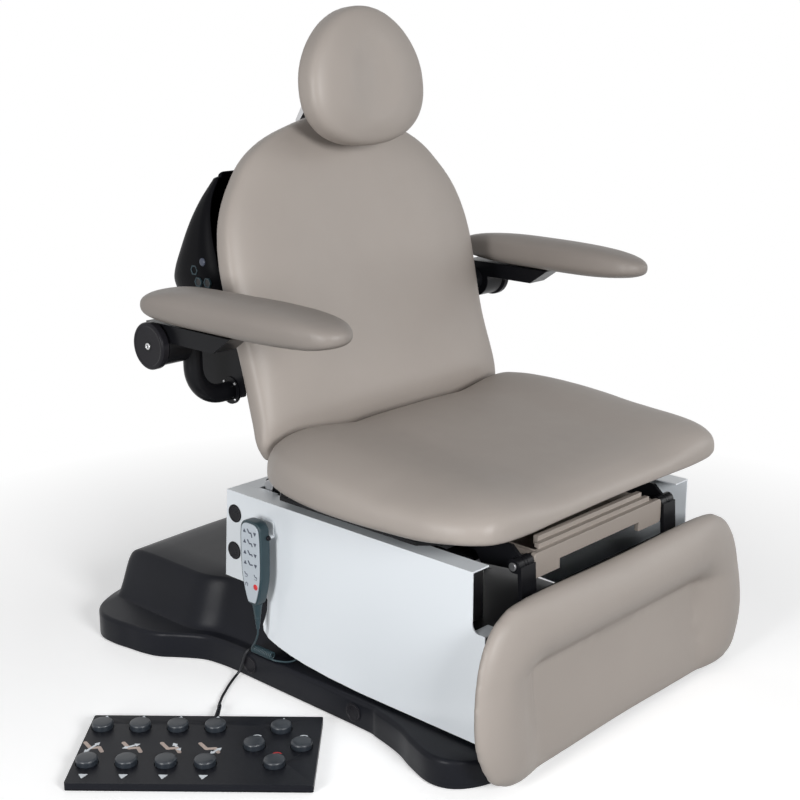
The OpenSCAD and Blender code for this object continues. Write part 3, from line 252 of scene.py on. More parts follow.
finishes = makeFinishes({
    "upholstery": (0.350, 0.312, 0.283), "black": (0.0075, 0.0082, 0.0115), "white": (0.82, 0.865, 0.905),
    "steelBlack": (0.006, 0.0062, 0.0075), "taupe": (0.30, 0.262, 0.232), "knob": (0.012, 0.0115, 0.0145),
    "key": (0.020, 0.025, 0.032), "slate": (0.026, 0.048, 0.058), "cord": (0.014, 0.015, 0.018),
    # shell is the black moulding's colour at about half, painted shade
    "shell": (0.0035, 0.0036, 0.0046), "rubber": (0.02, 0.02, 0.02), "film": (0.50, 0.55, 0.60),
    "whiteInk": (0.72, 0.76, 0.8), "beigeInk": (0.5, 0.4, 0.35), "greyInk": (0.045, 0.055, 0.085),
    "redInk": (0.62, 0.02, 0.025)})
print("finishes made:", len(finishes))

for nodeName, nodeObject in nodes.items():
    for slotEntry in nodeObject.material_slots:
        slotEntry.material = finishes[slotOf[nodeName]]


# Shapes: grids of points worked out as whole arrays

def spansThrough(a, b, c, d, steps):
    # Catmull-Rom: from b to c, the cubic whose end slopes are half the chord between the neighbouring points
    t = np.linspace(0, 1, steps, endpoint=False)[None, :, None]
    a, b, c, d = (p[:, None] for p in (a, b, c, d))
    spans = (2 * b + (c - a) * t + (2 * a - 5 * b + 4 * c - d) * t ** 2 + (3 * b - a - 3 * c + d) * t ** 3) / 2
    return spans.reshape(-1, spans.shape[-1])


def curveThrough(points, steps):
    # An open curve, with one more point past each end
    p = np.asarray(points, float)
    p = np.vstack([2 * p[0] - p[1], p, 2 * p[-1] - p[-2]])
    return np.vstack([spansThrough(p[:-3], p[1:-2], p[2:-1], p[3:], steps), p[-2]])


def mirroredOutline(shares, width, height, steps):
    # The right half's points and their mirror image on one closed curve, about the middle
    right = np.asarray(shares, float) * [width / 2, height] - [0, height / 2]
    loop = np.vstack([right, (right[1:-1] * [-1, 1])[::-1]])
    return spansThrough(*(np.roll(loop, k, 0) for k in (1, 0, -1, -2)), steps)


def rounded(points, radius, steps=4):
    # Each inner corner becomes the parabola that touches both of its sides a radius away
    p = np.asarray(points, float)
    corner = p[1:-1]
    back, ahead = p[:-2] - corner, p[2:] - corner
    backLength = np.linalg.norm(back, axis=1, keepdims=True)
    aheadLength = np.linalg.norm(ahead, axis=1, keepdims=True)
    reach = np.minimum(radius, 0.45 * np.minimum(backLength, aheadLength))
    start, end = corner + back / backLength * reach, corner + ahead / aheadLength * reach
    t = np.linspace(0, 1, steps + 1)[None, :, None]
    arc = (1 - t) ** 2 * start[:, None] + 2 * t * (1 - t) * corner[:, None] + t ** 2 * end[:, None]
    return np.vstack([p[:1], arc.reshape(-1, p.shape[1]), p[-1:]])


def gridFaces(rows, columns, wrap=True, start=0):
    # A quad between each point, the next in its row and the same two in the next row
    index = start + np.arange(rows * columns).reshape(rows, columns)
    if wrap:
        index = np.hstack([index, index[:, :1]])
    return np.stack([index[:-1, :-1], index[:-1, 1:], index[1:, 1:], index[1:, :-1]], -1).reshape(-1, 4).tolist()


def moved(points, place):
    # A rotation and a shift of all points at once
    turn = np.array(place.to_3x3())
    return np.asarray(points) @ turn.T + np.array(place.translation)


def makeMesh(name, points, faces, place=None, sharp=35, outward=True):
    points = np.asarray(points, float).reshape(-1, 3)
    if place is not None:
        points = moved(points, place)
    mesh = bpy.data.meshes.new(name)
    mesh.from_pydata(points.tolist(), [], faces)
    work = bmesh.new()
    work.from_mesh(mesh)
    bmesh.ops.remove_doubles(work, verts=work.verts, dist=0.000002)
    if outward:
        bmesh.ops.recalc_face_normals(work, faces=work.faces)
    work.to_mesh(mesh)
    work.free()
    mesh.polygons.foreach_set("use_smooth", np.ones(len(mesh.polygons), bool))
    mesh.set_sharp_from_angle(angle=math.radians(sharp))
    made = bpy.data.objects.new(name, mesh)
    scene.collection.objects.link(made)
    return made


def loft(name, rings, place=None, sharp=35):
    # A skin over closed rings of equal count, with a flat face at each end
    rings = np.asarray(rings, float)
    count, around = rings.shape[:2]
    faces = gridFaces(count, around)
    faces += [list(range(around))[::-1], list(range((count - 1) * around, count * around))]
    return makeMesh(name, rings, faces, place, sharp)


def turnedRings(profile, sides):
    # Surface of revolution: radius times cosine and sine, with the height kept
    profile = np.asarray(profile, float)
    a = np.linspace(0, 2 * math.pi, sides, endpoint=False)
    radius, height = profile[:, :1], profile[:, 1:]
    return np.stack([radius * np.cos(a), radius * np.sin(a), np.broadcast_to(height, (len(profile), sides))], -1)


def turned(name, profile, place, sides=48, sharp=35):
    rings = turnedRings(profile, sides)
    return makeMesh(name, rings, gridFaces(*rings.shape[:2]), place, sharp)


def joined(name, parts):
    # Several meshes become one piece
    work = bmesh.new()
    for part in parts:
        work.from_mesh(part.data)
        old = part.data
        bpy.data.objects.remove(part)
        bpy.data.meshes.remove(old)
    mesh = bpy.data.meshes.new(name)
    work.to_mesh(mesh)
    work.free()
    made = bpy.data.objects.new(name, mesh)
    scene.collection.objects.link(made)
    return made


def tubeRings(path, radius, sides, across=0):
    # A circle carried along a path: each ring stands square to the path, turned on from the ring before
    path = np.asarray(path, float)
    heading = np.gradient(path, axis=0)
    heading /= np.linalg.norm(heading, axis=1, keepdims=True)
    normals = np.zeros_like(path)
    normal = np.eye(3)[across]
    for i, ahead in enumerate(heading):
        normal = normal - ahead * normal.dot(ahead)
        normal /= np.linalg.norm(normal)
        normals[i] = normal
    side = np.cross(heading, normals)
    a = np.linspace(0, 2 * math.pi, sides, endpoint=False)
    radius = np.broadcast_to(radius, len(path))[:, None, None]
    return path[:, None] + radius * (np.cos(a)[None, :, None] * normals[:, None]
                                     + np.sin(a)[None, :, None] * side[:, None])


def slabs(name, outlines, low, high, place):
    # Each closed outline becomes a thin plate between two heights, a hair apart so that none share a plane
    points, faces, count = [], [], 0
    for outline in outlines:
        outline = np.asarray(outline, float)
        n = len(outline)
        for height in (low, high + 0.000012 * (len(points) // 2 % 9)):
            points.append(np.column_stack([outline, np.full(n, height)]))
        faces += gridFaces(2, n, start=count)
        faces += [list(range(count, count + n))[::-1], list(range(count + n, count + 2 * n))]
        count += 2 * n
    return makeMesh(name, np.vstack(points), faces, place, 30)


def bar(start, end, width, caps=7):
    # A straight stroke with round ends
    start, end = np.asarray(start, float), np.asarray(end, float)
    angle = math.atan2(*(end - start)[::-1])
    a = np.linspace(-math.pi / 2, math.pi / 2, caps) + angle
    half = np.stack([np.cos(a), np.sin(a)], -1) * width / 2
    return np.vstack([end + half, start - half])


def spot(middle, radius, sides=20):
    a = np.linspace(0, 2 * math.pi, sides, endpoint=False)
    return np.asarray(middle) + radius * np.stack([np.cos(a), np.sin(a)], -1)


def settle(piece, body, slot, finish=None, replaces=()):
    # Gives a finished piece its material (the finish, or else the slot's), its body, and hides the nodes that it stands
    # for
    piece.data.materials.clear()
    piece.data.materials.append(finishes[finish or slot])
    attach(piece, body)
    if replaces:
        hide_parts(*replaces)
    return piece


def facing(axis, origin):
    # Local Z along the axis, through the origin
    return Matrix.Translation(Vector(origin)) @ Vector(axis).to_track_quat("Z", "Y").to_matrix().to_4x4()


# Cords: the hand control's curly cord and the foot control's lead

pendantCord = {
    "diameter": 0.0036, "side": -0.310, "curlRadius": 0.0062, "curlPitch": 0.0046, "curls": 11, "curlX": -0.0095,
    "curlZ": 0.061, "curlStart": 0.126, "startAngle": 200, "stepsPerCurl": 24,
    "out": [(-28, 92, 117), (-28, 92, 113), (-27.5, 94, 104), (-26, 100, 92), (-23, 109, 80), (-19, 119, 70)],
    "home": [(-14, 68, 57.5), (-8, 58, 56), (1, 48, 55.2), (10, 40, 57), (15, 33, 64), (17, 30, 74),
             (17.5, 30, 84), (17.5, 30, 92)]}
footCord = {
    "diameter": 0.005, "bootU": 0.012, "bootV": 0.045, "bootZ": 0.010, "lead": 0.006, "side": -0.325,
    "route": [(-121, 79, 5), (-113, 88, 3), (-100, 99, 2.7), (-85, 111, 2.7), (-69, 122, 2.7), (-53, 133, 2.7),
              (-37, 143, 2.7), (-24, 150, 3.4), (-14, 153, 6.5), (-8, 152, 12), (-6, 150, 19), (-5.2, 147, 27),
              (-4.8, 144, 36), (-4.5, 141, 44), (-3.5, 138, 50.5), (0, 136, 55), (5, 135.5, 56.3), (11, 135.5, 56.3)]}
pedal = {"x": -0.573, "y": -0.023, "turn": -48, "width": 0.395, "depth": 0.225, "top": 0.016, "low": 0.005}
pedalPlace = Matrix.Translation((pedal["x"], pedal["y"], 0)) @ Matrix.Rotation(math.radians(pedal["turn"]), 4, "Z")


def curlyPath(c):
    # Straight out of the boot, eleven level curls about an axis along Y, and back up into the box
    a = np.arange(c["curls"] * c["stepsPerCurl"] + 1) / c["stepsPerCurl"]
    turn = 2 * math.pi * a + math.radians(c["startAngle"])
    curls = np.stack([c["curlX"] + c["curlRadius"] * np.cos(turn), c["curlStart"] - c["curlPitch"] * a,
                      c["curlZ"] + c["curlRadius"] * np.sin(turn)], -1)
    out, home = np.array(c["out"]) / 1000, np.array(c["home"]) / 1000
    lead = curveThrough(np.vstack([out, curls[:1]]), 6)[:-1]
    back = curveThrough(np.vstack([curls[-1:], home]), 6)[1:]
    return np.vstack([lead, curls, back]) + [c["side"], 0, 0]


def leadPath(c):
    outlet = pedal["depth"] / 2 + c["bootV"]
    ends = moved([(c["bootU"], outlet + step, c["bootZ"]) for step in (0, c["lead"])], pedalPlace)
    return curveThrough(np.vstack([ends, np.array(c["route"]) / 1000 + [c["side"], 0, 0]]), 5)


def pathLength(path):
    return float(np.linalg.norm(np.diff(path, axis=0), axis=1).sum())


curlyLine = curlyPath(pendantCord)
curlyCord = loft("curlyCord", tubeRings(curlyLine, pendantCord["diameter"] / 2, 12), sharp=60)
settle(curlyCord, "carriage", "slate_plastic", replaces=["pendant_cord"])

leadLine = leadPath(footCord)
footLead = loft("footLead", tubeRings(leadLine, footCord["diameter"] / 2, 14, 2), sharp=60)
settle(footLead, "base", "cord_rubber", replaces=["foot_cord"])
print("cords laid: %.3f m and %.3f m" % (pathLength(curlyLine), pathLength(leadLine)))

# Upholstery: foam forms under smooth vinyl, swollen by a short cloth simulation

cloth = {"frames": 20, "pressure": 4, "ease": 8, "calm": 24}
cushionLook = {
    "seat": {"width": 0.772, "length": 0.522, "edge": 0.074, "dish": 0.023, "lift": 0.034, "under": 0.038,
             "roll": 0.66, "cap": 0.005, "voxel": 0.0072, "middle": (0, -0.181, 0.412),
             "outline": [(0, 0), (.42, 0), (.76, .012), (.885, .065), (.955, .18), (.985, .34), (1, .5), (.995, .65),
                         (.96, .8), (.897, .92), (.79, .985), (.4, 1), (0, 1)]},
    "back": {"width": 0.638, "height": 0.604, "front": 0.042, "rear": 0.037, "channel": 0.008, "taper": 0.088,
             "roll": 0.5, "cap": 0.005, "voxel": 0.0072,
             "outline": [(0, 0), (.84, .002), (.98, .036), (.993, .13), (.988, .29), (1, .44), (.997, .59),
                         (.94, .715), (.822, .815), (.66, .897), (.405, .958), (0, 1)]},
    "leg": {"width": 0.768, "height": 0.291, "front": 0.048, "rear": 0.022, "channel": 0.054, "roll": 0.8,
            "cap": 0.005, "voxel": 0.0066, "top": 0.036, "behind": 0.0193,
            "outline": [(0, 0), (.7, -.01), (.885, .04), (.955, .14), (1, .3), (1, .5), (.97, .7), (.915, .85),
                        (.825, .95), (.65, 1), (0, 1)]},
    "head": {"width": 0.290, "height": 0.248, "front": 0.045, "rear": 0.028, "crease": 0.008, "egg": 0.12,
             "square": 0.88, "roll": 0.5, "cap": 0.004, "voxel": 0.0055, "middle": (0, 0.156, 1.074), "lean": 83},
    "arm": {"width": 0.098, "length": 0.464, "thick": 0.064, "low": 0.45, "roll": 0.74, "cap": 0.003,
            "voxel": 0.0048, "middle": (0.413, 0.023, 0.709), "toe": -2.4, "tip": 4.6,
            "outline": [(0, 0), (.64, .04), (.88, .14), (1, .32), (.98, .5), (.94, .68), (.9, .86), (.72, .96),
                        (0, 1)]}}


def clamped(values):
    return np.clip(values, 0, 1)


def softStep(values):
    # Smooth step: 3t squared less 2t cubed, held between 0 and 1
    t = clamped(values)
    return t * t * (3 - 2 * t)


def even(value):
    return lambda x, y: np.full_like(x, value)


def paddedForm(outline, front, rear, rows, roll):
    # Rings of the outline scaled by sine to the roll power, at the local thickness times cosine to the same
    # power, over the front from its crown to the rim and on to the middle of the rear
    turn = np.linspace(0, math.pi, 2 * rows + 1)[1:-1]
    shrink = np.sin(turn) ** roll
    rise = np.abs(np.cos(turn)) ** roll
    flat = shrink[:, None, None] * outline[None]
    x, y = flat[..., 0], flat[..., 1]
    z = np.where(np.cos(turn)[:, None] >= 0, front(x, y), -rear(x, y)) * rise[:, None]
    zero = np.zeros(1)
    points = np.vstack([[(0, 0, front(zero, zero)[0])], np.stack([x, y, z], -1).reshape(-1, 3),
                        [(0, 0, -rear(zero, zero)[0])]])
    around, count = len(outline), len(turn)
    faces = gridFaces(count, around, start=1)
    first = np.arange(1, around + 1)
    last = first + (count - 1) * around
    faces += np.stack([np.zeros(around, int), first, np.roll(first, -1)], -1).tolist()
    faces += np.stack([np.full(around, len(points) - 1), np.roll(last, -1), last], -1).tolist()
    return points, faces


def coordinates(mesh):
    flat = np.empty(len(mesh.vertices) * 3)
    mesh.vertices.foreach_get("co", flat)
    return flat.reshape(-1, 3)


def eased(points, edges, rounds, weights=(0.5, -0.52)):
    # Each point moves half way to the mean of its neighbours, and back again a little more
    share = np.bincount(edges.ravel(), minlength=len(points))[:, None]
    for weight in weights * rounds:
        total = np.zeros_like(points)
        np.add.at(total, edges[:, 0], points[edges[:, 1]])
        np.add.at(total, edges[:, 1], points[edges[:, 0]])
        points = points + weight * (total / share - points)
    return points


def upholstered(c, name, points, faces, place, body, node, finish=None):
    shape = makeMesh(name, points, faces, sharp=180)
    shape = swollen(shape, name, c["cap"], c["voxel"])
    moveTo = moved(coordinates(shape.data), place)
    shape.data.vertices.foreach_set("co", moveTo.ravel())
    smooth = shape.modifiers.new("smooth", "SUBSURF")
    smooth.levels = smooth.render_levels = 1
    settle(shape, body, "upholstery", finish, [node])


def swollen(shape, name, cap, voxel):
    # The form is remeshed, laid back on the pattern and blown up as cloth, no point moves further than its cap, and
    # the result is stretched along each axis to the pattern's own reach
    pattern = coordinates(shape.data)
    smoothForm = BVHTree.FromPolygons(pattern.tolist(), [tuple(face.vertices) for face in shape.data.polygons])
    remesh = shape.modifiers.new("voxels", "REMESH")
    remesh.mode = "VOXEL"
    remesh.voxel_size = voxel
    fresh = bpy.data.meshes.new_from_object(shape.evaluated_get(bpy.context.evaluated_depsgraph_get()))
    old = shape.data
    bpy.data.objects.remove(shape)
    bpy.data.meshes.remove(old)
    fresh.name = name
    skin = bpy.data.objects.new(name, fresh)
    scene.collection.objects.link(skin)
    edges = np.empty(len(fresh.edges) * 2, int)
    fresh.edges.foreach_get("vertices", edges)
    edges = edges.reshape(-1, 2)
    start = eased(coordinates(fresh), edges, cloth["ease"])
    start = np.array([smoothForm.find_nearest(point)[0] for point in start.tolist()])
    fresh.vertices.foreach_set("co", start.ravel())
    held = skin.vertex_groups.new(name="held")
    below = np.nonzero(start[:, 2] < start[:, 2].min() * 0.8)[0]
    held.add(below.tolist(), 1.0, "REPLACE")
    sim = skin.modifiers.new("cloth", "CLOTH")
    sim.settings.quality = 5
    sim.settings.mass = 0.3
    sim.settings.tension_stiffness = sim.settings.compression_stiffness = 30
    sim.settings.shear_stiffness = 12
    sim.settings.bending_stiffness = 6
    sim.settings.use_pressure = True
    sim.settings.uniform_pressure_force = cloth["pressure"]
    sim.settings.effector_weights.gravity = 0
    sim.settings.vertex_group_mass = "held"
    sim.point_cache.frame_start = 1
    sim.point_cache.frame_end = cloth["frames"]
    for frameNumber in range(1, cloth["frames"] + 1):
        scene.frame_set(frameNumber)
    blown = coordinates(skin.evaluated_get(bpy.context.evaluated_depsgraph_get()).data)
    scene.frame_set(1)
    skin.modifiers.remove(sim)
    step = eased(blown - start, edges, cloth["calm"], (0.5,))
    size = np.linalg.norm(step, axis=1, keepdims=True)
    finalPoints = eased(start + step * np.minimum(1, cap / np.maximum(size, 1e-9)), edges, 4)
    low, high = finalPoints.min(0), finalPoints.max(0)
    finalPoints = pattern.min(0) + (finalPoints - low) * (pattern.max(0) - pattern.min(0)) / (high - low)
    print(name, "moved %.1f mm on average, %.1f mm at most" % (1000 * size.mean(), 1000 * size.max()))
    fresh.vertices.foreach_set("co", finalPoints.ravel())
    fresh.polygons.foreach_set("use_smooth", np.ones(len(fresh.polygons), bool))
    skin.vertex_groups.clear()
    return skin


def seatCushion(c):
    def front(x, y):
        # Side rolls at full height, a dish between them and a rise towards the rear
        u, v = 2 * x / c["width"], 2 * y / c["length"]
        return c["edge"] - c["dish"] * softStep((0.8 - np.abs(u)) / 0.46) + c["lift"] * softStep((v + 0.6) / 1.55)

    def rear(x, y):
        # Flat on the pan, rising a little in front of it, with an arch over the tray
        u, v = 2 * x / c["width"], -2 * y / c["length"]
        arch = np.cos(math.pi / 2 * np.minimum(1, np.abs(u) / 0.62)) * clamped((v - 0.72) / 0.25)
        return c["under"] * (1 - 0.85 * arch) * (1 - 0.4 * softStep((v - 0.4) / 0.5))

    points, faces = paddedForm(mirroredOutline(c["outline"], c["width"], c["length"], 8), front, rear, 26, c["roll"])
    upholstered(c, "seatCushion", points, faces, Matrix.Translation(c["middle"]), "seat", "seat_cushion")


backPlace = Matrix.Translation((0, 0.086, 0.423)) @ Matrix.Rotation(math.radians(74.4), 4, "X")


def backCushion(c):
    def front(x, y):
        # A soft channel up the middle, and a foot that thins towards the seat
        u, v = 2 * x / c["width"], y / c["height"] + 0.5
        channel = (np.cos(math.pi / 2 * np.minimum(1, np.abs(u) / 0.6)).clip(0) ** 1.4
                   * clamped(v / 0.3) * clamped((1 - v) / 0.4))
        foot = np.maximum(0, 1 - v * c["height"] / c["taper"]) ** 2
        return c["front"] * (1 - 0.95 * foot) - c["channel"] * channel

    points, faces = paddedForm(mirroredOutline(c["outline"], c["width"], c["height"], 8), front,
                               even(c["rear"]), 24, c["roll"])
    place = backPlace @ Matrix.Translation((0, c["height"] / 2, 0))
    upholstered(c, "backCushion", points, faces, place, "back", "back_cushion")


legPlace = Matrix.Translation((0, -0.398, 0.338)) @ Matrix.Rotation(math.radians(-4), 4, "X")


def legCushion(c):
    def front(x, y):
        # A thick roll at the top and both sides round a recess that comes forward again towards the foot
        u, v = 2 * x / c["width"], 2 * y / c["height"]
        channel = (clamped((0.95 - np.abs(u)) / 0.33) ** 2.5 * clamped((0.72 - v) / 0.54) ** 2.6
                   * (1 - 0.3 * softStep((0.1 - v) / 1.1)))
        return c["front"] - c["channel"] * channel

    points, faces = paddedForm(mirroredOutline(c["outline"], c["width"], c["height"], 8), front,
                               even(c["rear"]), 22, c["roll"])
    place = (legPlace @ Matrix.Translation((0, -c["behind"] - c["rear"], -c["top"] - c["height"] / 2))
             @ Matrix.Rotation(math.radians(90), 4, "X"))
    upholstered(c, "legCushion", points, faces, place, "leg_rest", "leg_cushion")


def headCushion(c):
    def front(x, y):
        # A soft valley up the middle that fades out before the rim
        valley = np.cos(math.pi / 2 * np.minimum(1, np.abs(3.2 * x / c["width"]))) ** 2
        return c["front"] - c["crease"] * valley * softStep((0.92 - np.abs(2 * y / c["height"])) / 0.6)

    # An egg whose lower half is squarer: cosine and sine to a power below one
    a = np.linspace(0, 2 * math.pi, 96, endpoint=False)
    power = np.where(np.sin(a) < 0, c["square"], 1)
    across = np.sign(np.cos(a)) * np.abs(np.cos(a)) ** power * (1 - c["egg"] * np.sin(a)) / (1 + c["egg"] * 0.05)
    outline = np.stack([across * c["width"] / 2, np.sign(np.sin(a)) * np.abs(np.sin(a)) ** power * c["height"] / 2], -1)
    points, faces = paddedForm(outline, front, even(c["rear"]), 20, c["roll"])
    place = Matrix.Translation(c["middle"]) @ Matrix.Rotation(math.radians(c["lean"]), 4, "X")
    upholstered(c, "headCushion", points, faces, place, "headrest", "headrest_cushion")


def armPad(c, side, name, body, node):
    outline = mirroredOutline(c["outline"], c["width"], c["length"], 8)
    points, faces = paddedForm(outline, even(c["thick"] * (1 - c["low"])), even(c["thick"] * c["low"]), 18, c["roll"])
    x, y, z = c["middle"]
    place = (Matrix.Translation((side * x, y, z)) @ Matrix.Rotation(math.radians(c["toe"] * side), 4, "Z")
             @ Matrix.Rotation(math.radians(c["tip"] * side), 4, "Y"))
    # The arm pads take the vinyl darkened to 0.7 times, painted shade
    upholstered(c, name, points, faces, place, body, node, "armVinylPaintedShade")


seatCushion(cushionLook["seat"])
backCushion(cushionLook["back"])
legCushion(cushionLook["leg"])
headCushion(cushionLook["head"])
armPad(cushionLook["arm"], -1, "armPadRight", "arm_right", "arm_pad_right")
armPad(cushionLook["arm"], 1, "armPadLeft", "arm_left", "arm_pad_left")
print("upholstery filled")

# Mouldings: the base and the rear shell

baseLook = {"width": 0.650, "front": 0.440, "rear": 0.590, "frontFlare": 0.053, "rearFlare": 0.090, "side": 0.052,
            "hump": 0.150, "edge": 0.008, "ledge": 0.014, "foot": 0.336, "run": 0.046, "floorGap": 0.003,
            "camber": 0.06, "wall": 0.004, "soft": 0.009, "endRound": 0.007, "columnWidth": 0.2008,
            "columnDepth": 0.1608, "columnRound": 0.0164}
baseStations = [
    (-1, -1.3, 0.8, 0), (-0.982, -0.28, 0.9, 0), (-0.942, 0.47, 0.96, 0), (-0.882, 0.91, 1, 0), (-0.8, 1, 1, 0),
    (-0.69, 0.72, 1, 0), (-0.585, 0.36, 1, 0), (-0.445, 0.09, 1, 0), (-0.36, 0, 1, 0), (0.06, 0, 1, 0),
    (0.12, 0, 1, 0.1), (0.18, 0, 1, 0.4), (0.24, 0, 1, 0.72), (0.3, 0, 1, 0.92), (0.36, 0.03, 1, 1),
    (0.425, 0.12, 1, 1), (0.49, 0.39, 1, 1), (0.55, 0.68, 1, 1), (0.61, 0.81, 1, 1), (0.67, 0.87, 1, 1),
    (0.73, 0.93, 1, 1), (0.8, 0.92, 1, 0.99), (0.855, 0.75, 1, 0.95), (0.89, 0.5, 1, 0.84), (0.93, 0, 0.97, 0.56),
    (0.965, -0.7, 0.93, 0.26), (0.99, -1.55, 0.88, 0.08), (1, -2.15, 0.84, 0)]


def mirroredRings(right, across=0):
    # The right half's rows and their mirror image, without a second middle point
    left = right[:, -2::-1].copy()
    left[..., across] *= -1
    return np.concatenate([right, left], 1)


def withLips(grid, radius, edge, tuck):
    # Both end rows go over a quarter circle, with x drawn in by tuck, and on down a wall to the edge's height
    turn = np.linspace(0, math.pi / 2, 6)[1:, None]
    over = radius * (1 - np.cos(turn))
    rows = [grid]
    for end, direction in ((0, -1), (-1, 1)):
        x, y, z = np.moveaxis(grid[end][None], -1, 0)
        towards = z + np.sign(edge - z) * np.minimum(over, np.abs(edge - z))
        lip = np.stack([tuck(x, over), y + direction * radius * np.sin(turn), towards], -1)
        wall = lip[-1:].copy()
        wall[..., 2] = edge
        lip = np.vstack([lip, wall])
        rows = [lip[::-1]] + rows if direction < 0 else rows + [lip]
    return np.vstack(rows)


def walled(shape, thickness, axis):
    # Faces outward, so that their normals point along the axis on the whole, and a wall on their inner side
    normals = np.empty(len(shape.data.polygons) * 3)
    shape.data.polygons.foreach_get("normal", normals)
    if normals[axis::3].sum() < 0:
        shape.data.flip_normals()
    wall = shape.modifiers.new("wall", "SOLIDIFY")
    wall.thickness = thickness
    wall.offset = -1


def baseMoulding(c):
    # Each station's section is a wall, a rounded edge, a ledge and a raised cosine up to a cambered hump, whose foot
    # is the soft minimum (log of the summed exponentials) of the ledge's inner line and the hump's own width
    s = curveThrough(baseStations, 6)
    ahead, flare = s[:, 0], s[:, 1]
    reach = np.where(ahead < 0, c["front"], c["rear"])
    y = ahead * reach
    y = np.sign(y) * np.minimum(np.abs(y), reach - c["endRound"])
    half = c["width"] / 2 + flare * np.where(ahead < 0, c["frontFlare"], c["rearFlare"])
    side = c["side"] * s[:, 2]
    rise = (c["hump"] - c["side"]) * s[:, 3].clip(0)
    corner = np.linspace(0, math.pi / 2, 7)
    ramp = np.linspace(0, 1, 15)
    near = half - c["edge"] - c["ledge"]
    foot = -c["soft"] * np.log(np.exp(-near / c["soft"]) + np.exp(-c["foot"] / c["soft"]))
    x = [half] * 2 + [half - c["edge"] * (1 - np.cos(a)) for a in corner]
    z = [np.full_like(half, c["floorGap"]), side * 0.5] + [side - c["edge"] * (1 - np.sin(a)) for a in corner]
    x += [foot - c["run"] * t for t in ramp]
    z += [side + rise * (1 - math.cos(math.pi * t)) / 2 for t in ramp]
    inner = foot - c["run"]
    for share in (0.8, 0.6, 0.4, 0.2, 0):
        x.append(inner * share)
        z.append(side + rise * (1 + c["camber"] * (1 - share ** 2)))
    right = np.stack([np.stack(x, -1), np.repeat(y[:, None], len(x), 1), np.stack(z, -1)], -1)
    grid = withLips(mirroredRings(right), c["endRound"], c["floorGap"], lambda x, over: x - np.sign(x) * over)
    cover = makeMesh("baseMoulding", grid, gridFaces(*grid.shape[:2], wrap=False), sharp=40)
    walled(cover, c["wall"], 2)
    a = np.linspace(0, 2 * math.pi, 64, endpoint=False)
    rim = np.stack([np.cos(a), np.sin(a)], -1)
    span = np.array([c["columnWidth"], c["columnDepth"]]) / 2 - c["columnRound"]
    outline = rim * c["columnRound"] + np.sign(rim) * span
    cutter = slabs("columnCut", [outline], 0.0, 0.4, Matrix.Identity(4))
    cut = cover.modifiers.new("columnHole", "BOOLEAN")
    cut.operation = "DIFFERENCE"
    cut.object = cutter
    baked = bpy.data.meshes.new_from_object(cover.evaluated_get(bpy.context.evaluated_depsgraph_get()))
    cover.modifiers.clear()
    cover.data = baked
    baked.name = "baseMoulding"
    baked.polygons.foreach_set("use_smooth", np.ones(len(baked.polygons), bool))
    baked.set_sharp_from_angle(angle=math.radians(40))
    bpy.data.objects.remove(cutter)
    settle(cover, "base", "black_moulding", replaces=["base_cover"])


shellLook = {"width": 0.584, "low": 0.062, "height": 0.448, "depth": 0.198, "front": 0.0456, "power": 0.4,
             "wall": 0.003, "endRound": 0.008, "tuck": 3.75,
             "stations": [(0, .84, .19), (.1, .85, .3), (.23, .87, .47), (.36, .9, .67), (.46, .91, .84),
                          (.52, .92, .93), (.59, .98, .99), (.65, 1, 1), (.7, 1, .93), (.75, 1, .8),
                          (.82, .99, .62), (.88, .97, .46), (.94, .93, .3), (1, .86, .16), (1.025, .83, .1)]}


def backShell(c):
    # Each station is a Lame curve from rim to rim: width by cosine and depth by sine, both to a power
    s = curveThrough(c["stations"], 7)
    turn = np.linspace(math.pi, 0, 73)[None]
    y = c["low"] + c["height"] * s[:, :1]
    y = np.clip(y, y.min() + c["endRound"], y.max() - c["endRound"])
    x = c["width"] / 2 * s[:, 1:2] * np.sign(np.cos(turn)) * np.abs(np.cos(turn)) ** c["power"]
    deep = c["depth"] * s[:, 2:] * np.sin(turn).clip(0) ** c["power"]
    grid = np.stack([x, np.broadcast_to(y, x.shape), -c["front"] - deep], -1)
    grid = withLips(grid, c["endRound"], -c["front"], lambda x, over: x * (1 - c["tuck"] * over))
    shell = makeMesh("backShell", grid, gridFaces(*grid.shape[:2], wrap=False), backPlace, 40)
    walled(shell, c["wall"], 1)
    # The shell takes the darker copy of the black moulding, painted shade
    settle(shell, "back", "black_moulding", "shellPaintedShadePlastic", ["back_shell"])


def shellFittings():
    # Hexagonal sockets with raised rims and a round release button on each side of the shell
    places = {"hexagons": [(291.4, 739.2), (281.3, 718.6), (256.1, 720.0)], "button": (266.5, 756.7), "side": 0.2915,
              "hexRadius": 0.0098, "buttonRadius": 0.0075}
    for side, name in ((-1, "Right"), (1, "Left")):
        rims, wells = [], []
        for y, z in places["hexagons"]:
            at = facing((side, 0, 0), (side * places["side"], y / 1000, z / 1000))
            r = places["hexRadius"]
            rim = rounded([(r * 0.72, -0.002), (r * 0.76, 0.0012), (r * 0.98, 0.0016), (r * 1.04, -0.002)], 0.0005)
            rims.append(turned("hexRim", rim, at, 6, 20))
            wells.append(turned("hexWell", [(0, 0.0002), (r * 0.76, 0.0002), (r * 0.76, -0.002)], at, 6, 20))
        settle(joined("shellSockets" + name, rims), "back", "knob_plastic", "slate_plastic")
        # The well floors are near-black painted shade in the hexagonal sockets
        settle(joined("shellWells" + name, wells), "back", "black_moulding", "recess")
        r = places["buttonRadius"]
        y, z = places["button"]
        profile = rounded([(0, 0.0035), (r * 0.8, 0.0032), (r, 0.0015), (r, -0.002)], 0.0012)
        at = facing((side, 0, 0), (side * places["side"], y / 1000, z / 1000))
        settle(turned("shellButton" + name, profile, at, 32), "back", "knob_plastic", "greyInk")


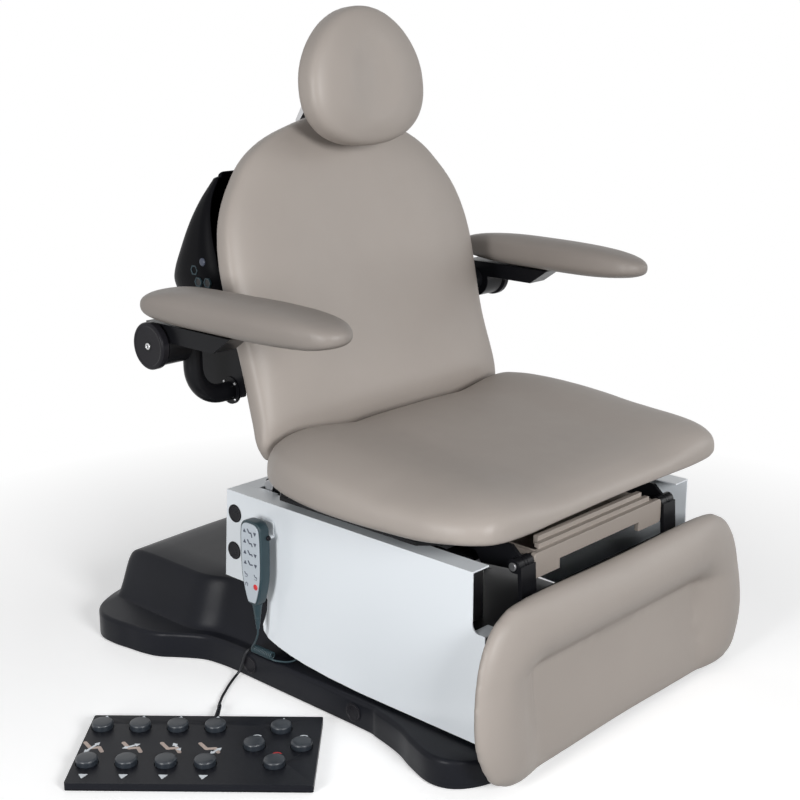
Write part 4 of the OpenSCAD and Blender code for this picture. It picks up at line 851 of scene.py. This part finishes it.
def mountPlate():
    # The bare plate under each tube flange, in the side view of the back
    plate = {"near": 0.2811, "thick": 0.0025, "corner": 0.006,
             "outline": [(170, 524), (260, 495), (264, 516), (296, 538), (312, 590), (312, 640), (190, 640)]}
    outline = np.array(plate["outline"]) / 1000
    outline = rounded(np.vstack([outline, outline[:2]]), plate["corner"])[1:-1]
    parts = []
    for side in (-1, 1):
        toSide = Matrix(((0, 0, side, 0), (1, 0, 0, 0), (0, 1, 0, 0), (0, 0, 0, 1)))
        parts.append(slabs("plate", [outline], plate["near"], plate["near"] + plate["thick"], toSide))
    settle(joined("armMountPlates", parts), "back", "black_enamel")


mountPlate()
baseMoulding(baseLook)
backShell(shellLook)
shellFittings()
print("mouldings made")

# Folded and machined parts keep their CAD shape and get their real edge radii


def softened(name, node, width, angle=35):
    copy = nodes[node].data.copy()
    copy.name = name
    work = bmesh.new()
    work.from_mesh(copy)
    bmesh.ops.remove_doubles(work, verts=work.verts, dist=0.000005)
    bmesh.ops.dissolve_limit(work, angle_limit=math.radians(0.6), verts=work.verts, edges=work.edges)
    work.to_mesh(copy)
    work.free()
    copy.polygons.foreach_set("use_smooth", np.ones(len(copy.polygons), bool))
    copy.set_sharp_from_angle(angle=math.radians(angle))
    made = bpy.data.objects.new(name, copy)
    scene.collection.objects.link(made)
    edge = made.modifiers.new("edge", "BEVEL")
    edge.width = width
    edge.segments = 2
    edge.limit_method = "ANGLE"
    edge.angle_limit = math.radians(angle)
    edge.harden_normals = True
    return settle(made, homeOf[node], slotOf[node], replaces=[node])


edgeRadii = {
    "sideCoverRight": ("side_cover_right", 0.0009), "sideCoverLeft": ("side_cover_left", 0.0009),
    "rearCover": ("rear_cover", 0.0008), "frontCover": ("front_cover", 0.0008), "trayBody": ("tray", 0.0012),
    "footControlHousing": ("foot_control_housing", 0.0008), "armBracketRight": ("arm_bracket_right", 0.0016),
    "armBracketLeft": ("arm_bracket_left", 0.0016), "seatFrame": ("seat_frame", 0.0007),
    "seatPan": ("seat_pan", 0.0015), "legFrame": ("leg_frame", 0.0007), "liftHead": ("lift_head", 0.001),
    "controlBox": ("control_box", 0.002), "pivotPins": ("hinge_pins", 0.0007),
    "headrestPost": ("headrest_post", 0.0012), "headrestBracket": ("headrest_bracket", 0.0008),
    "backFrame": ("back_frame", 0.0008), "pendantHook": ("pendant_hook", 0.002), "armTubes": ("arm_tubes", 0.0012),
    "floorFrame": ("base_frame", 0.001)}
repainted = {"pendantHook": "white_enamel", "frontCover": "black_enamel"}
for pieceName, (nodeName, radius) in edgeRadii.items():
    made = softened(pieceName, nodeName, radius)
    if pieceName in repainted:
        settle(made, homeOf[nodeName], repainted[pieceName])
print("edges softened")

# Plugs, knobs, keys and boots, turned from profiles

plugLook = {"radius": 0.017, "thick": 0.0016, "stem": 0.011, "stemLength": 0.006}


def plugCap(c, side, x, y, z):
    # A disc with a rolled rim and a faint dish
    profile = rounded([(0, 0.0009), (c["radius"] * 0.78, 0.0008), (c["radius"] * 0.84, c["thick"]),
                       (c["radius"], c["thick"] * 0.7), (c["radius"], 0), (c["stem"], 0),
                       (c["stem"], -c["stemLength"]), (0, -c["stemLength"])], 0.0005)
    return turned("plug", profile, facing((side, 0, 0), (side * x, y, z)), 48, 30)


settle(joined("basePlugCaps", [plugCap(plugLook, side, 0.3253, y, 0.027) for side in (-1, 1) for y in (0.132, -0.136)]),
       "base", slotOf["base_plugs"], "knob_plastic", ["base_plugs"])
settle(joined("coverPlugCaps", [plugCap(dict(plugLook, stemLength=0.0001), side, 0.3103, y, z) for side in (-1, 1)
                                for y, z in ((0.178, 0.308), (0.183, 0.235))]),
       "carriage", slotOf["cover_plugs"], "knob_plastic", ["cover_plugs"])


knobLook = {"face": 0.018, "axis": (0.4455, 0.21, 0.641)}


def clampKnob(c, side, name, body, node):
    # A broad disc with a chamfered rim, a shallow dished face and a bright centre screw
    face = c["face"]
    x, y, z = c["axis"]
    profile = rounded([(0.0101, 0), (0.0365, 0), (0.041, 0.0045), (0.041, face - 0.0022), (0.0388, face),
                       (0.0350, face + 0.0002), (0.0335, face - 0.0006), (0, face - 0.0006)], 0.0009)
    at = facing((side, 0, 0), (side * x, y, z))
    settle(turned(name, profile, at, 96, 25), body, "knob_plastic", replaces=[node])
    screw = rounded([(0.0022, face - 0.0012), (0.0022, face + 0.0004), (0.0030, face + 0.0016), (0.0052, face + 0.0013),
                     (0.006, face + 0.0002), (0.006, face - 0.001)], 0.0004)
    settle(turned(name + "Screw", screw, at, 32, 25), body, "bright_steel")
    # The screw's socket floor is a near-black disc, painted shade in the hole
    settle(turned(name + "Socket", [(0, face - 0.0002), (0.0024, face - 0.0002), (0.0024, face - 0.001)], at, 6, 20),
           body, "bright_steel", "recess")


clampKnob(knobLook, -1, "armKnobRight", "knob_right", "arm_knob_right")
clampKnob(knobLook, 1, "armKnobLeft", "knob_left", "arm_knob_left")

footKeys = [(u, v) for v in (0.070, -0.049) for u in (-0.1745, -0.1105, -0.0465, 0.0175)]
footKeys += [(0.1295, 0.067), (0.0903, 0.009), (0.1687, 0.009), (0.1295, -0.049)]
keyLook = {"radius": 0.018, "low": 0.0154, "height": 0.013, "dome": 0.003}


def footKey(c, i, u, v):
    # A round key with a slightly waisted skirt and a broad domed top
    r, h = c["radius"], c["height"]
    dome = [(r * t, h - c["dome"] * 0.55 * t ** 3) for t in np.linspace(0, 0.88, 10)]
    skirt = [(r * 0.97, h - c["dome"] * 0.95), (r, h - c["dome"] * 1.5), (r * 0.985, 0.001), (r * 0.97, 0), (0, 0)]
    profile = rounded(dome + skirt, 0.0008)
    settle(turned("footKey%d" % i, profile, pedalPlace @ Matrix.Translation((u, v, c["low"])), 64, 50),
           "foot_button_%d" % i, "foot_key_plastic", replaces=["foot_button_%d" % i])


for keyNumber, (u, v) in enumerate(footKeys, 1):
    footKey(keyLook, keyNumber, u, v)


def ribbedBoot(name, length, wide, narrow, ribs, place, body, slot, nodesGone):
    # A taper whose radius swells in rings towards its tip
    t = np.linspace(0, 1, 8 * ribs + 12)
    radius = wide + (narrow - wide) * t ** 0.8
    swell = 0.07 * wide * np.clip((t - 0.3) / 0.2, 0, 1) * np.cos(2 * math.pi * ribs * t)
    profile = np.vstack([[(0, 0)], np.stack([radius + swell * (radius / wide), length * t], -1), [(0, length)]])
    return settle(turned(name, profile, place, 40, 60), body, slot, replaces=nodesGone)


pedalBack = pedalPlace @ facing((0, 1, 0), (footCord["bootU"], pedal["depth"] / 2, footCord["bootZ"]))
ribbedBoot("footLeadBoot", footCord["bootV"], 0.005, 0.0032, 6, pedalBack, "base", slotOf["foot_control_boot"],
           ["foot_control_boot"])
pendantTip = Matrix.Translation((-0.338, 0.092, 0.1667)) @ Matrix.Rotation(math.pi, 4, "X")
ribbedBoot("pendantBoot", 0.0497, 0.0100, 0.0030, 5, pendantTip, "carriage", "slate_plastic", ["pendant_boot"])
gland = rounded([(0.0026, -0.001), (0.0038, -0.001), (0.0042, 0.002), (0.0036, 0.004), (0.004, 0.006),
                 (0.004, 0.008)], 0.0006)
settle(turned("ledgeGrommet", gland, facing((1, 0, 0), (-0.314, 0.1355, 0.0563)), 32), "base", slotOf["ledge_gland"],
       replaces=["ledge_gland"])
print("turned parts made")

# Hand control: a rounded slate case, a silver film with keys and plain marks

handControl = {"y": 0.092, "top": 0.325, "length": 0.158, "half": 0.028, "backX": 0.326, "frontX": 0.350,
               "filmInset": 0.0042, "filmThick": 0.001,
               "outline": [(0, 0), (.33, .003), (.45, .03), (.6, .095), (.76, .185), (.9, .3), (.97, .43), (.995, .58),
                           (1, .74), (.97, .86), (.86, .945), (.55, .99), (0, 1)]}


def handLayers(c, insets, depths):
    # The outline drawn in towards its middle by each inset, at its distance from the centre plane on the -X side
    outline = mirroredOutline(c["outline"], 2 * c["half"], c["length"], 8)
    middle = c["top"] - c["length"] / 2
    layers = []
    for inset, x in zip(insets, depths):
        share = 1 - inset / np.array([c["half"], c["length"] / 2])
        layers.append(np.column_stack([np.full(len(outline), -x), c["y"] + outline[:, 0] * share[0],
                                       middle + outline[:, 1] * share[1]]))
    return np.stack(layers)


def handControlCase(c):
    turn = np.linspace(0, math.pi / 2, 7)
    back = [(0.006 * (1 - math.sin(a)), c["backX"] + 0.006 * (1 - math.cos(a))) for a in turn]
    front = [(0.003 * (1 - math.cos(a)), c["frontX"] - 0.003 * (1 - math.sin(a))) for a in turn]
    layers = back + front + [(c["filmInset"] - 0.0004, c["frontX"]), (c["filmInset"] - 0.0003, c["frontX"] - 0.0006)]
    case = loft("handControlCase", handLayers(c, *zip(*layers)), sharp=30)
    settle(case, "carriage", "slate_plastic", replaces=["pendant_body"])
    film = [(c["filmInset"], c["frontX"] - 0.0005), (c["filmInset"], c["frontX"] + 0.0006),
            (c["filmInset"] + 0.0004, c["frontX"] + c["filmThick"])]
    sheet = loft("handControlFilm", handLayers(c, *zip(*film)), sharp=25)
    settle(sheet, "carriage", "keypad_film", replaces=["pendant_keypad"])


def chairSign(size, tilt=0.0):
    # A plain side view of a reclined seat: back, seat and leg strokes
    back, seat, leg = (-0.5, 0.42), (-0.12, -0.12), (0.3, -0.05)
    low = (0.5, -0.45 + tilt)
    w = size * 0.2
    return [bar(np.multiply(p, size), np.multiply(q, size), w) for p, q in ((back, seat), (seat, leg), (leg, low))]


def arrowHead(size, direction):
    # An equal-sided triangle with rounded corners, pointing along the direction
    a = math.radians(direction) + np.array([0, 2, 4, 6, 8]) * math.pi / 3
    corners = np.stack([np.cos(a), np.sin(a)], -1)[[0, 1, 2, 0, 1]] * size / 2
    return rounded(corners, size * 0.12, 3)[1:-1]


def shifted(outlines, x, y):
    return [np.asarray(o) + [x, y] for o in outlines]


handPlace = Matrix(((0, 0, -1, -0.351), (-1, 0, 0, handControl["y"]), (0, 1, 0, 0), (0, 0, 0, 1)))  # X towards -Y
handMarks = {"rows": [0.3045, 0.2845, 0.2640, 0.2445], "column": 0.0135, "pad": 0.0125, "arrow": 0.0098, "sign": 0.0115,
             "memoryX": 0.0125, "memoryZ": 0.2235, "home": (-0.012, 0.2035), "red": (0.0115, 0.2035)}


def handControlMarks(c):
    # Arrows on round pads each side of a sign, two small signs, a plain gabled sign and a red key
    arrows, signs, pads = [], [], []
    for i, z in enumerate(c["rows"]):
        signs += shifted(chairSign(c["sign"], 0.2 * (i - 1)), 0.0, z)
        for side in (-1, 1):
            arrows += shifted([arrowHead(c["arrow"], -90 * side)], side * c["column"], z)
            pads += shifted([bar((-0.001, 0), (0.001, 0), c["pad"], 9)], side * c["column"], z)
    for side in (-1, 1):
        signs += shifted(chairSign(0.007), side * c["memoryX"], c["memoryZ"])
        signs += shifted([bar((-0.003, 0), (0.003, 0), 0.0007)], side * c["memoryX"], c["memoryZ"] - 0.0055)
    strokes = [((-0.0025, -0.0025), (-0.0025, 0.001)), ((0.0025, -0.0025), (0.0025, 0.001)),
               ((-0.0035, 0.001), (0, 0.004)), ((0.0035, 0.001), (0, 0.004))]
    signs += shifted([bar(*stroke, 0.0008) for stroke in strokes], *c["home"])
    settle(slabs("handControlPads", pads, -0.0001, 0.00035, handPlace), "carriage", "keypad_film")
    settle(slabs("handControlArrows", arrows, -0.0001, 0.0005, handPlace), "carriage", "keypad_film", "greyInk")
    settle(slabs("handControlSigns", signs, -0.0001, 0.0004, handPlace), "carriage", "keypad_film", "greyInk")
    key = rounded([(0, 0.0011), (0.0042, 0.0010), (0.0054, 0.0004), (0.0056, -0.0003)], 0.0008)
    settle(turned("handControlRedKey", key, handPlace @ Matrix.Translation((*c["red"], 0)), 40), "carriage",
           "keypad_film", "redInk")


handControlCase(handControl)
handControlMarks(handMarks)
peg = rounded([(0, 0.0045), (0.0036, 0.004), (0.0046, 0.002), (0.0046, 0), (0.0032, -0.001), (0.0032, -0.004)], 0.0008)
settle(turned("handControlPeg", peg, facing((0, -1, 0), (-0.333, 0.0640, 0.296)), 28), "carriage", "slate_plastic",
       "knob_plastic")
print("hand control made")


# Foot control marks: triangles, plain chair signs and small arcs

def arc(radius, start, end, width, steps=9):
    a = np.radians(np.linspace(start, end, steps))
    ring = np.stack([np.cos(a), np.sin(a)], -1)
    return np.vstack([ring * (radius + width / 2), (ring * (radius - width / 2))[::-1]])


footMarks = {"near": (0.0185, -0.0885), "far": (0.0085, 0.1068), "sign": (0.034, 0.003), "tip": 0.012, "stroke": 0.0042,
             "arc": (0.0075, 0.0395), "dot": (0.0016, 0.1040), "redArc": (0.0085, -0.0195), "middle": 0.1305,
             "arrows": [((-0.012, -0.012), (0.002, 0.012)), ((-0.014, 0.0), (0.004, 0.010)),
                        ((0.002, 0.012), (0.012, -0.004)), ((0.004, -0.014), (0.014, -0.002))]}


def footControlMarks(c):
    # Each mark's size and its distance towards the back; the double arrows lie over the signs
    white, beige = [], []
    for (u, v), (start, end) in zip(footKeys, c["arrows"]):
        white += shifted([arrowHead(c["near"][0], -90)], u + 0.002, c["near"][1])
        white += shifted([arrowHead(c["far"][0], 90)], u - 0.001, c["far"][1])
        beige += shifted(chairSign(c["sign"][0]), u - 0.001, c["sign"][1])
        heading = math.degrees(math.atan2(end[1] - start[1], end[0] - start[0]))
        double = [bar(start, end, c["stroke"]), *shifted([arrowHead(c["tip"], heading)], *end),
                  *shifted([arrowHead(c["tip"], heading + 180)], *start)]
        white += shifted(double, u + 0.002, 0.001)
    for u, v in footKeys[9:11]:
        white += shifted([arc(c["arc"][0], 30, 150, 0.0022)], u + 0.001, c["arc"][1])
    white += shifted([spot((0, 0), c["dot"][0])], c["middle"], c["dot"][1])
    red = shifted([arc(c["redArc"][0], 35, 145, 0.0022)], c["middle"], c["redArc"][1])
    place = pedalPlace @ Matrix.Translation((0, 0, pedal["top"]))
    for name, outlines, high, ink in (("footControlWhiteMarks", white, 0.0002, "whiteInk"),
                                      ("footControlBeigeMarks", beige, 0.00015, "beigeInk"),
                                      ("footControlRedMark", red, 0.0002, "redInk")):
        settle(slabs(name, outlines, -0.0001, high, place), "base", slotOf["foot_control_housing"], ink)


footControlMarks(footMarks)


# Small hardware: tube flange screws, inlet pins and inlet screws

def screwHead(name, axis, origin, radius, height):
    # A domed head with a hexagonal socket
    dome = rounded([(radius * 0.42, height * 0.35), (radius * 0.42, height), (radius * 0.7, height * 0.98),
                    (radius, height * 0.45), (radius, -0.0005)], radius * 0.2)
    rim = turned(name, dome, facing(axis, origin), 32, 30)
    floor = turned(name + "Floor", [(0, height * 0.4), (radius * 0.44, height * 0.4)], facing(axis, origin), 6, 20)
    return [rim, floor]


flange = {"x": 0.2863, "y": 0.21, "z": 0.529, "ring": 0.0205}
flangeScrews = []
for side in (-1, 1):
    for a in np.radians((45, 135, 225, 315)):
        y, z = flange["y"] + flange["ring"] * math.cos(a), flange["z"] + flange["ring"] * math.sin(a)
        flangeScrews += screwHead("screw", (side, 0, 0), (side * flange["x"], y, z), 0.0028, 0.0022)
settle(joined("tubeFlangeScrews", flangeScrews), "back", "bright_steel")
inletPins = [loft("pin", np.stack([np.array([(-0.001, -0.003), (0.001, -0.003), (0.001, 0.003), (-0.001, 0.003)])
                                   @ np.array([(1, 0, 0), (0, 0, 1)]) + [x, y, z] for y in (0.563, 0.580)]))
             for x, z in ((-0.007, 0.022), (0.007, 0.022), (0, 0.031))]
settle(joined("inletPins", inletPins), "base", "bright_steel")
inletScrews = [part for x in (-0.0265, 0.0265)
               for part in screwHead("screw", (0, 1, 0), (x, 0.592, 0.026), 0.0022, 0.0015)]
settle(joined("inletScrews", inletScrews), "base", "bright_steel")
print("marks and hardware made")


# Floor, world and lamps

def stageFloor():
    # Dull grey to every ray but the camera's and a reflection's, which see a pale floor that fades to white
    floor = makeMesh("studioFloor", np.array([(-9, -9, -0.0004), (9, -9, -0.0004), (9, 9, -0.0004), (-9, 9, -0.0004)]),
                     [[0, 1, 2, 3]], outward=False)
    paint = Finish("studioFloor", roughness=0.9, specularIorLevel=0.1, baseColor=(0.93, 0.93, 0.93, 1))
    far = paint.add("ShaderNodeVectorMath", {"operation": "LENGTH"}, {0: paint.place()}, 1)
    fade = paint.ramp(far * 0.5, [(0.38, 0.0), (0.75, 1.0)])
    seen = paint.seenDirectly()
    glow = paint.add("ShaderNodeEmission", {}, {"Color": (1, 1, 1, 1), "Strength": 1.0})
    lift = paint.add("ShaderNodeEmission", {}, {"Color": (1, 1, 1, 1), "Strength": 0.36})
    dull = paint.add("ShaderNodeBsdfDiffuse", {}, {"Color": (0.13, 0.13, 0.13, 1)})
    near = paint.add("ShaderNodeAddShader", {}, {0: Wire(paint, paint.shader.outputs[0]), 1: lift})
    pale = paint.add("ShaderNodeMixShader", {}, {0: fade, 1: near, 2: glow})
    mixed = paint.add("ShaderNodeMixShader", {}, {0: seen, 1: dull, 2: pale})
    paint.plug(paint.tree.nodes["Material Output"].inputs["Surface"], mixed)
    floor.data.materials.append(paint.material)


def stageWorld(strength):
    world = bpy.data.worlds.new("studioWorld")
    scene.world = world
    world.use_nodes = True
    world.node_tree.nodes.clear()
    sky = Graph(world.node_tree)
    seen = sky.seenDirectly()
    lamp = sky.add("ShaderNodeBackground", {}, {"Color": (0.97, 0.98, 1, 1), "Strength": strength})
    plain = sky.add("ShaderNodeBackground", {}, {"Color": (1, 1, 1, 1), "Strength": 1.0})
    mixed = sky.add("ShaderNodeMixShader", {}, {0: seen, 1: lamp, 2: plain})
    sky.add("ShaderNodeOutputWorld", {}, {"Surface": mixed})


def softbox(name, position, aim, size, power, shiny):
    data = bpy.data.lights.new(name, "AREA")
    data.shape = "RECTANGLE"
    data.size, data.size_y = size
    data.energy = power
    lamp = bpy.data.objects.new(name, data)
    scene.collection.objects.link(lamp)
    lamp.location = position
    lamp.rotation_euler = (Vector(aim) - Vector(position)).to_track_quat("-Z", "Y").to_euler()
    lamp.visible_glossy = shiny


softboxes = {  # position, aim, size, watts, seen in reflections
    "frontSoftbox": ((-1.3, -3.6, 1.7), (0, 0, 0.5), (1.2, 1.0), 104, True),
    "leftSoftbox": ((-3.8, -0.6, 1.1), (0, 0, 0.5), (0.9, 1.5), 86, True),
    "rightSoftbox": ((3.2, -2.4, 1.4), (0, 0, 0.5), (0.8, 1.8), 26, True),
    "rearSoftbox": ((1.4, 3.4, 1.9), (0, 0, 0.6), (1.6, 1.6), 14, False)}
stageFloor()
stageWorld(0.15)
for lampName, lampSetting in softboxes.items():
    softbox(lampName, *lampSetting)
print("studio lit")
